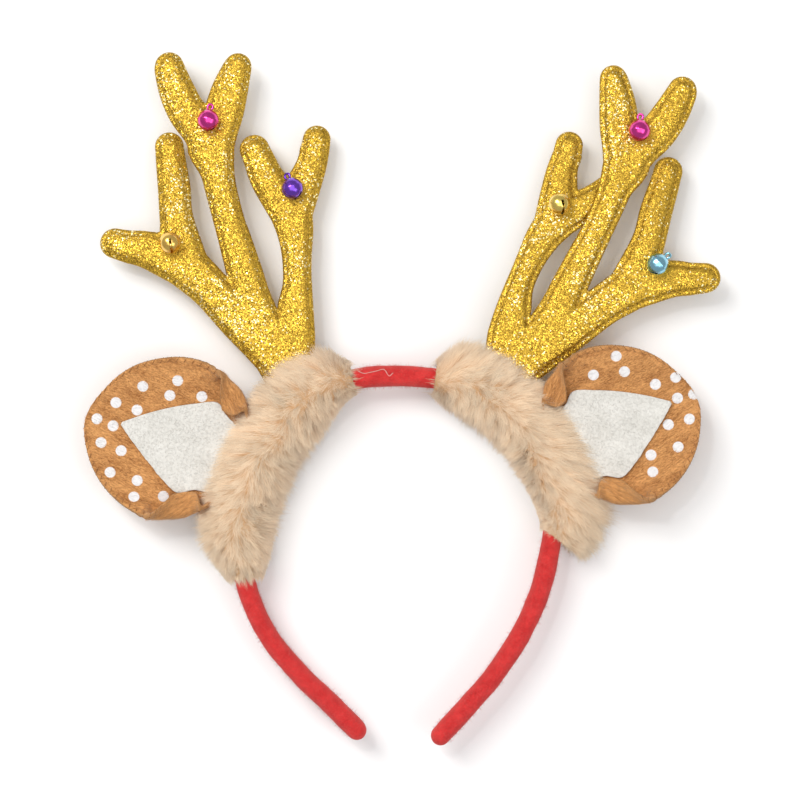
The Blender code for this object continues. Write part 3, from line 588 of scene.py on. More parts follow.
@dataclass(frozen=True)
class GlitterFinish:
    """Cloth covered in small metal flakes, each turned its own way, some with a painted glint."""

    name: str
    shade: Colour
    body: Colour
    # spark: the colour of the painted glints on random flakes.
    spark: Colour
    seam: Colour
    flake: float = 0.00036
    tilt: float = 0.62

    def material(self) -> bpy.types.Material:
        """Return the material: each flake has a random direction, tone and polish, and random flakes, more of
        them in slow patches, take the spark colour as a painted glint.
        """
        material, table, shader = start_material(self.name, Metallic=0.85)
        place = table.add("ShaderNodeTexCoord").outputs["Object"]
        flakes = table.add("ShaderNodeTexVoronoi")
        flakes.inputs["Scale"].default_value = 1.0 / self.flake
        table.join(place, flakes.inputs["Vector"])
        parts = table.add("ShaderNodeSeparateColor")
        table.join(flakes.outputs["Color"], parts.inputs["Color"])
        # A coarser net of cells picks the flakes that get a painted glint.
        glint_cells = table.add("ShaderNodeTexVoronoi")
        glint_cells.inputs["Scale"].default_value = 0.62 / self.flake
        table.join(place, glint_cells.inputs["Vector"])
        chance = table.add("ShaderNodeSeparateColor")
        table.join(glint_cells.outputs["Color"], chance.inputs["Color"])
        glint_patches = table.add("ShaderNodeTexNoise")
        glint_patches.inputs["Scale"].default_value = 42.0
        glint_patches.inputs["Detail"].default_value = 2.0
        table.join(place, glint_patches.inputs["Vector"])
        centred = table.add("ShaderNodeVectorMath", operation="SUBTRACT")
        centred.inputs[1].default_value = (0.5, 0.5, 0.5)
        table.join(flakes.outputs["Color"], centred.inputs[0])
        leaning = table.add("ShaderNodeVectorMath", operation="SCALE")
        leaning.inputs["Scale"].default_value = self.tilt
        table.join(centred.outputs["Vector"], leaning.inputs[0])
        straight = table.add("ShaderNodeNewGeometry")
        turned_way = table.add("ShaderNodeVectorMath", operation="ADD")
        table.join(straight.outputs["Normal"], turned_way.inputs[0])
        table.join(leaning.outputs["Vector"], turned_way.inputs[1])
        level = table.add("ShaderNodeVectorMath", operation="NORMALIZE")
        table.join(turned_way.outputs["Vector"], level.inputs[0])
        table.join(level.outputs["Vector"], shader.inputs["Normal"])
        ground = table.blend(parts.outputs["Green"], self.shade, self.body)
        # More painted glints fall in slow patches, standing in for where the light catches the cloth.
        glint_patch = table.math("MAXIMUM", table.math("SUBTRACT", glint_patches.outputs["Fac"], 0.46), 0.0)
        wanted = table.math("SUBTRACT", 0.985, table.math("MULTIPLY", glint_patch, 0.60))
        painted_glint_mask = table.math("GREATER_THAN", chance.outputs["Red"], wanted)
        with_painted_glints = table.blend(painted_glint_mask, ground, self.spark)
        sewn = table.add("ShaderNodeAttribute", attribute_name="sewn")
        table.join(table.blend(sewn.outputs["Fac"], with_painted_glints, self.seam), shader.inputs["Base Color"])
        polish = table.math("ADD", table.math("MULTIPLY", parts.outputs["Blue"], 0.28), 0.20)
        table.join(polish, shader.inputs["Roughness"])
        return material


@dataclass(frozen=True)
class PlushFinish:
    """Short plush with printed dots."""

    name: str
    dark: Colour
    light: Colour
    dot: Colour
    centres: tuple[tuple[float, float], ...]
    radius: float

    def material(self) -> bpy.types.Material:
        """Return the material: streaks of nap along the ear, and a mask for each dot."""
        material, table, shader = start_material(self.name, Roughness=0.85, Sheen_Weight=0.55,
                                                 Sheen_Roughness=0.4, Sheen_Tint=(1.0, 0.80, 0.55))
        shader.inputs["Specular IOR Level"].default_value = 0.25
        cloth = table.add("ShaderNodeAttribute", attribute_name="cloth").outputs["Vector"]
        stretch = table.add("ShaderNodeMapping")
        stretch.inputs["Rotation"].default_value = (0.0, 0.0, math.radians(24.0))
        stretch.inputs["Scale"].default_value = (0.30, 1.0, 1.0)
        table.join(cloth, stretch.inputs["Vector"])
        nap = place_fibres(table, stretch.outputs["Vector"], 1900.0)
        share = table.math("MULTIPLY", table.math("SUBTRACT", nap.outputs["Tone"], 0.36), 3.9)
        colour = table.blend(share, self.dark, self.light)
        mask = None
        for centre in self.centres:
            dot = table.add("ShaderNodeGroup", node_tree=printed_dot())
            dot.inputs["Centre"].default_value = (*centre, 0.0)
            dot.inputs["Radius"].default_value = self.radius
            table.join(cloth, dot.inputs["Place"])
            found = dot.outputs["Mask"]
            mask = found if mask is None else table.math("MAXIMUM", mask, found)
        table.join(table.blend(mask, colour, self.dot), shader.inputs["Base Color"])
        add_bump(table, shader, nap.outputs["Height"], 0.00038)
        return material


@dataclass(frozen=True)
class LacquerFinish:
    """Thin metal under a coloured lacquer."""

    name: str
    colour: Colour
    dark: Colour
    polish: float = 0.24

    def material(self) -> bpy.types.Material:
        """Return the material: a polished metal, a little uneven in tone and polish."""
        material, table, shader = start_material(self.name, Metallic=1.0, Coat_Weight=1.0,
                                                 Coat_Roughness=0.05)
        noise = table.add("ShaderNodeTexNoise")
        noise.inputs["Scale"].default_value = 420.0
        table.join(table.add("ShaderNodeTexCoord").outputs["Object"], noise.inputs["Vector"])
        table.join(table.blend(noise.outputs["Fac"], self.dark, self.colour), shader.inputs["Base Color"])
        polish = table.math("ADD", table.math("MULTIPLY", noise.outputs["Fac"], 0.12), self.polish - 0.06)
        table.join(polish, shader.inputs["Roughness"])
        return material


@dataclass(frozen=True)
class TableFinish:
    """A plain pale table top."""

    name: str = "pale_table"
    colour: Colour = (0.98, 0.98, 0.98)

    def material(self) -> bpy.types.Material:
        """Return the material, with a faint mottle."""
        material, table, shader = start_material(self.name, Roughness=0.9)
        noise = table.add("ShaderNodeTexNoise")
        noise.inputs["Scale"].default_value = 30.0
        table.join(table.add("ShaderNodeTexCoord").outputs["Object"], noise.inputs["Vector"])
        pale = tuple(0.985 * part for part in self.colour)
        table.join(table.blend(noise.outputs["Fac"], pale, self.colour), shader.inputs["Base Color"])
        return material


# The hoop

@dataclass
class Hoop:
    """The hoop and its cover of red felt.

    Each of its rows is a point of the middle line, from the left tip over the crown to the right
    tip: how far across, as a share of half the width, and how far down, as a share of the height.
    """

    width: float = 0.1427
    height: float = 0.1630
    thickness: float = 0.0093
    depth: float = 0.0110
    crown: tuple[float, float] = CROWN
    rows: Rows = (
        (-0.250, 0.977), (-0.430, 0.897), (-0.590, 0.831), (-0.782, 0.732), (-0.896, 0.638),
        (-0.962, 0.535), (-0.986, 0.412), (-0.946, 0.310), (-0.850, 0.208), (-0.690, 0.110),
        (-0.450, 0.036), (-0.220, 0.006), (0.000, 0.000), (0.215, 0.006), (0.450, 0.026),
        (0.690, 0.082), (0.870, 0.165), (0.975, 0.280), (1.000, 0.385), (0.965, 0.489),
        (0.905, 0.600), (0.782, 0.716), (0.620, 0.824), (0.473, 0.900), (0.284, 0.992),
    )
    stations: int = 420
    sides: int = 40
    points: Array = field(init=False)
    distance: Array = field(init=False)

    def __post_init__(self) -> None:
        """Draw the middle line and measure it from the crown."""
        rows = np.array(self.rows)
        flat = np.stack([rows[:, 0] * self.width / 2, -rows[:, 1] * self.height], axis=1) + self.crown
        self.points = smooth_rows(flat, 12)
        length = np.concatenate([[0.0], np.cumsum(np.linalg.norm(np.diff(self.points, axis=0), axis=1))])
        self.distance = length - length[12 * [row[0] for row in self.rows].index(0.0)]

    def at(self, distance: Array | float) -> tuple[Array, Array, Array]:
        """Find places on the middle line.

        Args:
            distance: Distances from the crown, negative on the left.

        Returns:
            The points, the directions along and the directions outwards.
        """
        distance = np.atleast_1d(distance)
        ahead = self._point(distance + MILLIMETRE) - self._point(distance - MILLIMETRE)
        along = unit(ahead)
        return self._point(distance), along, np.stack([-along[..., 1], along[..., 0]], axis=-1)

    def _point(self, distance: Array) -> Array:
        """Return the middle line's points, drawn on straight past its two ends."""
        low, high = self.distance[0], self.distance[-1]
        held = np.clip(distance, low, high)
        point = np.stack([np.interp(held, self.distance, self.points[:, axis]) for axis in (0, 1)],
                         axis=-1)
        first = (self.points[1] - self.points[0]) / (self.distance[1] - low)
        last = (self.points[-1] - self.points[-2]) / (high - self.distance[-2])
        return point + np.minimum(distance - low, 0.0)[..., None] * first \
            + np.maximum(distance - high, 0.0)[..., None] * last

    def gap(self, points: Array) -> Array:
        """Measure from the middle line.

        Args:
            points: Points on the hoop's plane.

        Returns:
            Their distances, negative inside the hoop.
        """
        start, run = self.points[:-1], np.diff(self.points, axis=0)
        offset = points[:, None, :] - start[None]
        share = np.clip((offset * run).sum(-1) / (run * run).sum(-1), 0.0, 1.0)
        away = np.linalg.norm(offset - share[..., None] * run, axis=-1)
        nearest = away.argmin(axis=1)
        each = np.arange(len(points))
        side = (run[nearest, 0] * offset[each, nearest, 1]
                - run[nearest, 1] * offset[each, nearest, 0])
        return np.where(side < 0.0, -1.0, 1.0) * away[each, nearest]

    def surface(self, distance: Array, angle: Array, scale: Array | float = 1.0) -> Array:
        """Find points on the cover.

        With c and s the cosine and sine of the angle, the section is c^0.85 out and s^0.85 up,
        times half its size, and slow noise makes the wrapped felt uneven.

        Args:
            distance: Distances from the crown.
            angle: Angles round the section, 0 outwards and a quarter turn up.
            scale: The share of the full section.

        Returns:
            The points.
        """
        point, _, outward = self.at(distance)
        cos, sin = np.cos(angle), np.sin(angle)
        side = np.sign(cos) * np.abs(cos) ** 0.85 * self.thickness / 2 * scale
        rise = np.sign(sin) * np.abs(sin) ** 0.85 * self.depth / 2 * scale
        place = np.concatenate([point + outward * side[..., None], (LIE_HEIGHT + rise)[..., None]],
                               axis=-1)
        way = np.concatenate([outward * cos[..., None], sin[..., None]], axis=-1)
        uneven = 0.00028 * soft_noise(place, 0.011, 3) + 0.00012 * soft_noise(place, 0.0035, 4)
        return place + way * (uneven * scale - 0.0001)[..., None]

    def cover_mesh(self) -> bpy.types.Mesh:
        """Return the felt cover, with round tips."""
        inner = np.linspace(self.distance[0], self.distance[-1], self.stations)
        turn = np.linspace(0.0, math.pi / 2, 9)[1:-1]
        reach = np.sin(turn) * self.thickness / 2
        distance = np.concatenate([inner[0] - reach[::-1], inner, inner[-1] + reach])
        scale = np.concatenate([np.cos(turn)[::-1], np.ones(self.stations), np.cos(turn)])
        angle = np.arange(self.sides) * 2 * math.pi / self.sides
        shape = (len(distance), self.sides)
        sections = self.surface(np.broadcast_to(distance[:, None], shape), np.broadcast_to(angle, shape),
                                np.broadcast_to(scale[:, None], shape))
        return mesh_of("felt_cover", *skin(sections))

    def fluff_mesh(self, spans: tuple[tuple[float, float], ...], count: int) -> bpy.types.Mesh:
        """Lay loose felt fibres on the cover.

        Args:
            spans: The bare stretches of the hoop, as distances from the crown.
            count: The number of fibres.

        Returns:
            The fibres as one mesh.
        """
        rng = np.random.default_rng(11)
        length = np.array([stop - start for start, stop in spans])
        span = rng.choice(len(spans), count, p=length / length.sum())
        start = np.array([low for low, _ in spans])[span]
        distance = start + rng.random(count) * length[span]
        angle = rng.random(count) * 2 * math.pi
        root = self.surface(distance, angle)
        way = unit(self.surface(distance, angle, np.full(count, 1.2)) - root)
        drift = unit(rng.normal(size=(count, 3)))
        reach = rng.uniform(0.0006, 0.0019, count)[:, None]
        paths = np.stack([root - way * 0.0001, root + reach * (0.36 * way + 0.4 * drift),
                          root + reach * (0.48 * way + 0.8 * drift)], axis=1)
        points, faces = ribbons(paths, np.tile([0.00007, 0.00006], (count, 1)), way)
        values = {"reach": on_ribbons(np.tile([0.0, 0.5, 1.0], (count, 1))),
                  "tone": np.repeat(rng.uniform(0.75, 1.15, count), 5)}
        return mesh_of("felt_fluff", points, [faces], values, np.repeat(way, 5, axis=0))

    def dress(self, cover: FeltFinish, fluff: PileFinish, spans: tuple[tuple[float, float], ...]) -> None:
        """Make the cover and its loose fibres.

        Args:
            cover: The felt.
            fluff: The loose fibres.
            spans: The bare stretches of the hoop.
        """
        piece = show_piece("felt_cover", self.cover_mesh(), cover.material(), "red_felt", "headband")
        show_piece("felt_fluff", self.fluff_mesh(spans, 14000), fluff.material(), "red_felt")


# The fur cuffs

@dataclass
class FurCuff:
    """A long-pile fur sleeve round the hoop.

    Each of its rows is a place along it, as a share of its length, the swell outwards and the
    swell inwards there, and the slant in degrees.
    """

    hoop: Hoop
    side: Side
    start: float
    length: float
    rows: Rows
    width: float = 0.0400
    depth: float = 0.0390
    rim: float = 0.0015
    trim: tuple[float, float] = (0.025, 0.965)
    lock: float = 0.0036
    parting: float = math.radians(100.0)
    strands: int = 31500
    thinned: float = 0.65
    hair: float = 0.00014
    backing: float = 0.50
    stations: int = 120
    sides: int = 72
    table_gap: float = 0.0004

    def place(self, along: Array, angle: Array, share: Array) -> Array:
        """Find points in the pile.

        The share runs from 0 on the felt to 1 on the pile's outer form, which is an oval of the
        swell that the table gives at that place along the cuff. Nothing is below the table top.

        Args:
            along: Shares of the cuff's length.
            angle: Angles round it, 0 outwards and a quarter turn up.
            share: Shares of the pile's depth.

        Returns:
            The points.
        """
        columns = read_rows(self.rows, np.clip(along, 0.0, 1.0))
        swell, slant = columns[..., :2], np.radians(columns[..., 2])
        distance = self.side.value * (self.start + along * self.length)
        point, ahead, outward = self.hoop.at(distance)
        core_out, core_up = self.hoop.thickness / 2 + CLEARANCE, self.hoop.depth / 2 + CLEARANCE
        reach = core_out + self.rim + swell * (self.width / 2 - core_out - self.rim)
        middle, half = (reach[..., 0] - reach[..., 1]) / 2, (reach[..., 0] + reach[..., 1]) / 2
        full = np.clip(0.5 * swell.sum(axis=-1), 0.0, 1.0) ** 0.6
        height = core_up + self.rim + full * (self.depth / 2 - core_up - self.rim)
        out = (1 - share) * core_out * np.cos(angle) + share * (middle + half * np.cos(angle))
        rise = ((1 - share) * core_up + share * height) * np.sin(angle)
        lean = out * np.tan(slant) * self.side.value
        flat = point + outward * out[..., None] + ahead * lean[..., None]
        return np.concatenate([flat, np.maximum(LIE_HEIGHT + rise, self.table_gap)[..., None]], axis=-1)

    def outwards(self, along: Array, angle: Array) -> Array:
        """Return the directions out of the pile's outer form, from its two slopes' cross product."""
        one = np.ones_like(along)
        step, turn = 0.01, 0.03
        run = self.place(along + step, angle, one) - self.place(along - step, angle, one)
        round_it = self.place(along, angle + turn, one) - self.place(along, angle - turn, one)
        way = unit(np.cross(run, round_it))
        middle = self.place(along, angle, 0.0 * one)
        towards = ((self.place(along, angle, one) - middle) * way).sum(axis=-1, keepdims=True)
        return way * np.where(towards < 0.0, -1.0, 1.0)

    def backing_mesh(self) -> bpy.types.Mesh:
        """Return the sleeve under the pile, a little uneven."""
        turns = np.arange(self.sides) * 2 * math.pi / self.sides
        along, angle = np.meshgrid(np.linspace(*self.trim, self.stations), turns, indexing="ij")
        sections = self.place(along, angle, np.full(along.shape, self.backing))
        uneven = 0.0008 * soft_noise(sections, 0.006, 5)
        sections = self.place(along, angle, self.backing + uneven / 0.012)
        # The backing takes the root colour, darker as painted shade under the pile.
        values = {"reach": np.zeros(along.size + 2), "tone": np.full(along.size + 2, 0.95)}
        return mesh_of("fur_backing_" + self.side.word, *skin(sections), values)

    def locks(self, rng: np.random.Generator, along: Array,
              angle: Array) -> tuple[Array, Array, Array]:
        """Find the lock that each hair belongs to.

        The cuff is cut into cells of a lock's size, each with one lock at a random spot, and a
        hair belongs to the nearest lock of its own and the eight cells round it.

        Args:
            rng: The random numbers.
            along: The hairs' shares of the cuff's length.
            angle: The hairs' angles.

        Returns:
            The locks' places along, their angles and their random rows of five.
        """
        rows = max(round(self.length / self.lock), 4)
        columns = max(round(math.pi * self.width / self.lock), 8)
        jitter = rng.uniform(0.12, 0.88, (rows + 4, columns, 2))
        random = rng.normal(size=(rows + 4, columns, 5))
        row, column = along * rows, angle / (2 * math.pi) * columns
        best = np.full(len(along), 1e9)
        found_along, found_angle = np.zeros_like(along), np.zeros_like(angle)
        found = np.zeros((len(along), 5))
        for down, beside in product((-1, 0, 1), repeat=2):
            lock_row = np.clip(np.floor(row).astype(int) + down, -2, rows + 1)
            lock_column = np.floor(column).astype(int) + beside
            spot = jitter[lock_row + 2, lock_column % columns]
            far = np.hypot(lock_row + spot[:, 0] - row, lock_column + spot[:, 1] - column)
            nearer = far < best
            best = np.where(nearer, far, best)
            found_along = np.where(nearer, (lock_row + spot[:, 0]) / rows, found_along)
            lock_angle = (lock_column + spot[:, 1]) / columns * 2 * math.pi
            found_angle = np.where(nearer, lock_angle, found_angle)
            found = np.where(nearer[:, None], random[lock_row + 2, lock_column % columns], found)
        return found_along, found_angle, found

    def pile_mesh(self, lie: Lie, seed: int) -> bpy.types.Mesh:
        """Grow the pile on the front or the back of the cuff.

        A hair runs from its root to its tip in the pile's own coordinates. Its sideways way is the
        comb's direction, which leads away from the parting and out of the cuff's ends, plus its
        lock's own lean and a pull towards the lock's middle, times the share of its length to the
        power of 1.5. Slow noise sways the comb, which opens partings.

        Args:
            lie: The front or the back.
            seed: The number that picks the hairs.

        Returns:
            The hairs as one mesh.
        """
        rng = np.random.default_rng(seed)
        count = self.strands if lie is Lie.FRONT else int(self.thinned * self.strands)
        low, high = self.trim
        along = low + rng.random(count) * (high - low)
        angle = rng.random(count) * math.pi + lie.value
        lock_rng = np.random.default_rng(900 + int(self.side.value))
        lock_along, lock_angle, lock = self.locks(lock_rng, along, angle)

        def combed(place: Array, turn: Array) -> tuple[Array, Array]:
            """Return how far the comb leads a hair along the cuff and round it."""
            spots = self.place(place, turn, np.full(len(place), 0.6))
            fade = 1.0 - np.exp(-(1 - place) / 0.09)
            sway = 0.0036 * soft_noise(spots, 0.013, 51) * fade
            lead = 0.0034 * fade - 0.0058 * np.exp(-place / 0.06) + 0.0012 * (1.0 - fade) + sway
            swirl = 0.42 * np.sin(turn - self.parting) + 0.20 * soft_noise(spots, 0.015, 52)
            return lead / self.length, swirl

        own_along, own_angle = combed(along, angle)
        pull = np.clip(rng.normal(0.42, 0.18, count), 0.0, 0.95)
        lock_lean_along = 0.0012 / self.length * lock[:, 0]
        lock_lean_angle = 0.08 * lock[:, 1]
        tip_along = along + own_along + lock_lean_along + pull * (lock_along - along)
        tip_angle = angle + own_angle + lock_lean_angle + pull * (lock_angle - angle)
        tip_along = tip_along + rng.normal(0, 0.0011, count) / self.length
        tip_angle = tip_angle + rng.normal(0, 0.07, count)
        full = 0.92 + 0.035 * np.clip(lock[:, 2], -1.6, 1.6) + rng.normal(0, 0.06, count)
        stray = rng.random(count) < 0.12
        full = np.where(stray, full + rng.uniform(0.03, 0.19, count), full)
        root = rng.uniform(0.36, 0.52, count)

        steps = np.linspace(0.0, 1.0, 4)
        lead = steps[None] ** 1.5
        wiggle = rng.normal(0, 0.02, (count, 4)) * (steps * (1 - steps) * 4)[None]
        path_along = along[:, None] + (tip_along - along)[:, None] * lead
        path_angle = angle[:, None] + (tip_angle - angle)[:, None] * lead + wiggle
        path_share = root[:, None] + (full - root)[:, None] * (1 - (1 - steps[None]) ** 1.25)
        paths = self.place(path_along, path_angle, path_share)
        facing = self.outwards(along, angle)
        width = self.hair * rng.uniform(0.7, 1.25, count)[:, None] * np.array([[1.0, 0.95, 0.6]])
        points, faces = ribbons(paths, width, facing)

        tip_place = np.clip(lock_along + own_along, -0.05, 1.05)
        lock_tip = self.place(tip_place, lock_angle + own_angle, np.ones(count))
        rounding = (paths[:, -1] - lock_tip) / self.lock
        normals = unit(facing + 0.45 * rounding + 0.12 * rng.normal(size=(count, 3)))
        tone = 0.93 + 0.05 * lock[:, 3] + rng.normal(0, 0.07, count)
        # Each hair runs from the darker root colour, painted shade deep in the pile, to the tip colour.
        values = {"reach": on_ribbons(np.tile([0.0, 0.38, 0.78, 1.0], (count, 1))),
                  "tone": np.repeat(np.clip(tone, 0.6, 1.02), 7)}
        return mesh_of(f"fur_{lie.name.lower()}_{self.side.word}", points, [faces], values,
                       np.repeat(normals, 7, axis=0))

    def dress(self, finish: PileFinish) -> None:
        """Make the sleeve and its pile.

        Args:
            finish: The fur.
        """
        material = finish.material()
        word = self.side.word
        backing = show_piece("fur_backing_" + word, self.backing_mesh(), material, "tan_fur",
                             "fur_cuff_" + word)
        for lie in Lie:
            seed = 40 + int(self.side.value) + (10 if lie is Lie.BACK else 0)
            mesh = self.pile_mesh(lie, seed)
            pile = show_piece(mesh.name, mesh, material, "tan_fur")
            # The front pile casts no shadow, and its darker root colour paints that shade instead.
            pile.visible_shadow = lie is Lie.BACK


# The antlers

def strip_depth(points: Array, rows: Array) -> Array:
    """Measure how deep points lie in a strip.

    The strip is the union of round cones between one row and the next, and the depth in one is
    its half width at the nearest spot on the middle line less the distance to that spot.

    Args:
        points: The points.
        rows: The strip's middle line and half widths.

    Returns:
        The depths, negative outside.
    """
    start, run = rows[:-1], np.diff(rows, axis=0)
    offset = points[:, None, :] - start[None, :, :2]
    share = np.clip((offset * run[:, :2]).sum(-1) / (run[:, :2] ** 2).sum(-1), 0.0, 1.0)
    half = start[:, 2] + share * run[:, 2]
    return (half - np.linalg.norm(offset - share[..., None] * run[:, :2], axis=-1)).max(axis=1)


def turned(points: Array, pivot: Array, angle: Array | float) -> Array:
    """Turn points on the plane.

    Args:
        points: The points.
        pivot: The point that stays.
        angle: The angles in radians, positive outwards.

    Returns:
        The turned points.
    """
    offset = points - pivot
    cos, sin = np.cos(angle), np.sin(angle)
    across = offset[:, 0] * cos + offset[:, 1] * sin
    return pivot + np.stack([across, offset[:, 1] * cos - offset[:, 0] * sin], axis=1)


@dataclass(frozen=True)
class Branch:
    """A part of the antler that bends against the rest, with its strips as tables."""

    pivot: tuple[float, float]
    reach: float
    tables: tuple[Rows, ...]
    spread: float

    def bend(self, points: Array, height: float, degrees: float, hold: float = 0.0) -> Array:
        """Bend points about the pivot.

        Past the share of the reach that stays straight, the angle grows with the share f of the
        rest as f * (1.4 - 0.4 * f).

        Args:
            points: The points.
            height: The antler's height.
            degrees: The angle at the branch's end.
            hold: The share of the reach that stays straight.

        Returns:
            The bent points.
        """
        pivot = np.array(self.pivot) * height
        far = np.linalg.norm(points - pivot, axis=1) / (self.reach * height)
        far = np.clip((far - hold) / (1.0 - hold), 0.0, 1.0)
        return turned(points, pivot, np.radians(degrees) * far * (1.4 - 0.4 * far))


# The antler's flat pattern as strips: across and up as shares of its height, and half the strip's
# width as a share of the prong's
FIXED_STRIPS = (
    ((-0.020, -0.040, 0.72), (-0.018, 0.070, 0.80), (0.020, 0.160, 0.86), (0.078, 0.270, 0.68),
     (0.112, 0.385, 0.60), (0.137, 0.470, 0.55), (0.154, 0.525, 0.52), (0.176, 0.610, 0.53),
     (0.188, 0.668, 0.58), (0.205, 0.730, 0.78)),
    ((0.205, 0.730, 0.70), (0.228, 0.780, 0.70), (0.273, 0.833, 0.64), (0.301, 0.890, 0.60),
     (0.320, 0.946, 0.52), (0.323, 0.961, 0.48)),
    ((0.200, 0.730, 0.70), (0.186, 0.780, 0.68), (0.168, 0.833, 0.66), (0.152, 0.892, 0.61),
     (0.134, 0.946, 0.50), (0.128, 0.961, 0.45)),
    ((-0.010, -0.040, 0.50), (0.000, 0.070, 0.46), (0.050, 0.157, 0.64), (0.123, 0.242, 0.71),
     (0.206, 0.330, 0.68), (0.275, 0.395, 0.76)),
    ((0.275, 0.395, 0.76), (0.378, 0.438, 0.63), (0.435, 0.449, 0.55), (0.477, 0.459, 0.50)),
)
HIGH_PRONG = Branch((0.275, 0.395), 0.34, (
    ((0.275, 0.395, 0.76), (0.303, 0.526, 0.57), (0.310, 0.611, 0.55), (0.321, 0.696, 0.50),
     (0.325, 0.736, 0.48)),
), 8.0)
INNER_BRANCH = Branch((-0.014, 0.057), 0.68, (
    ((-0.020, -0.040, 0.72), (-0.020, 0.157, 0.84), (-0.031, 0.242, 0.68), (-0.040, 0.327, 0.51),
     (-0.040, 0.384, 0.48), (-0.038, 0.440, 0.52), (-0.033, 0.497, 0.62), (-0.022, 0.548, 0.72)),
    ((-0.022, 0.548, 0.72), (0.042, 0.639, 0.60), (0.068, 0.696, 0.53), (0.082, 0.727, 0.50)),
    ((-0.022, 0.548, 0.72), (-0.075, 0.668, 0.52), (-0.089, 0.725, 0.49), (-0.095, 0.757, 0.46)),
), -6.0)


@dataclass(frozen=True)
class Bends:
    """How an antler is bent.

    The bends are degrees in the plane, a branch leans back behind the stem by the next two, and
    the hold is the share of the inner branch that stays straight.
    """

    inner: float
    prong: float
    inner_back: float
    prong_back: float
    inner_hold: float


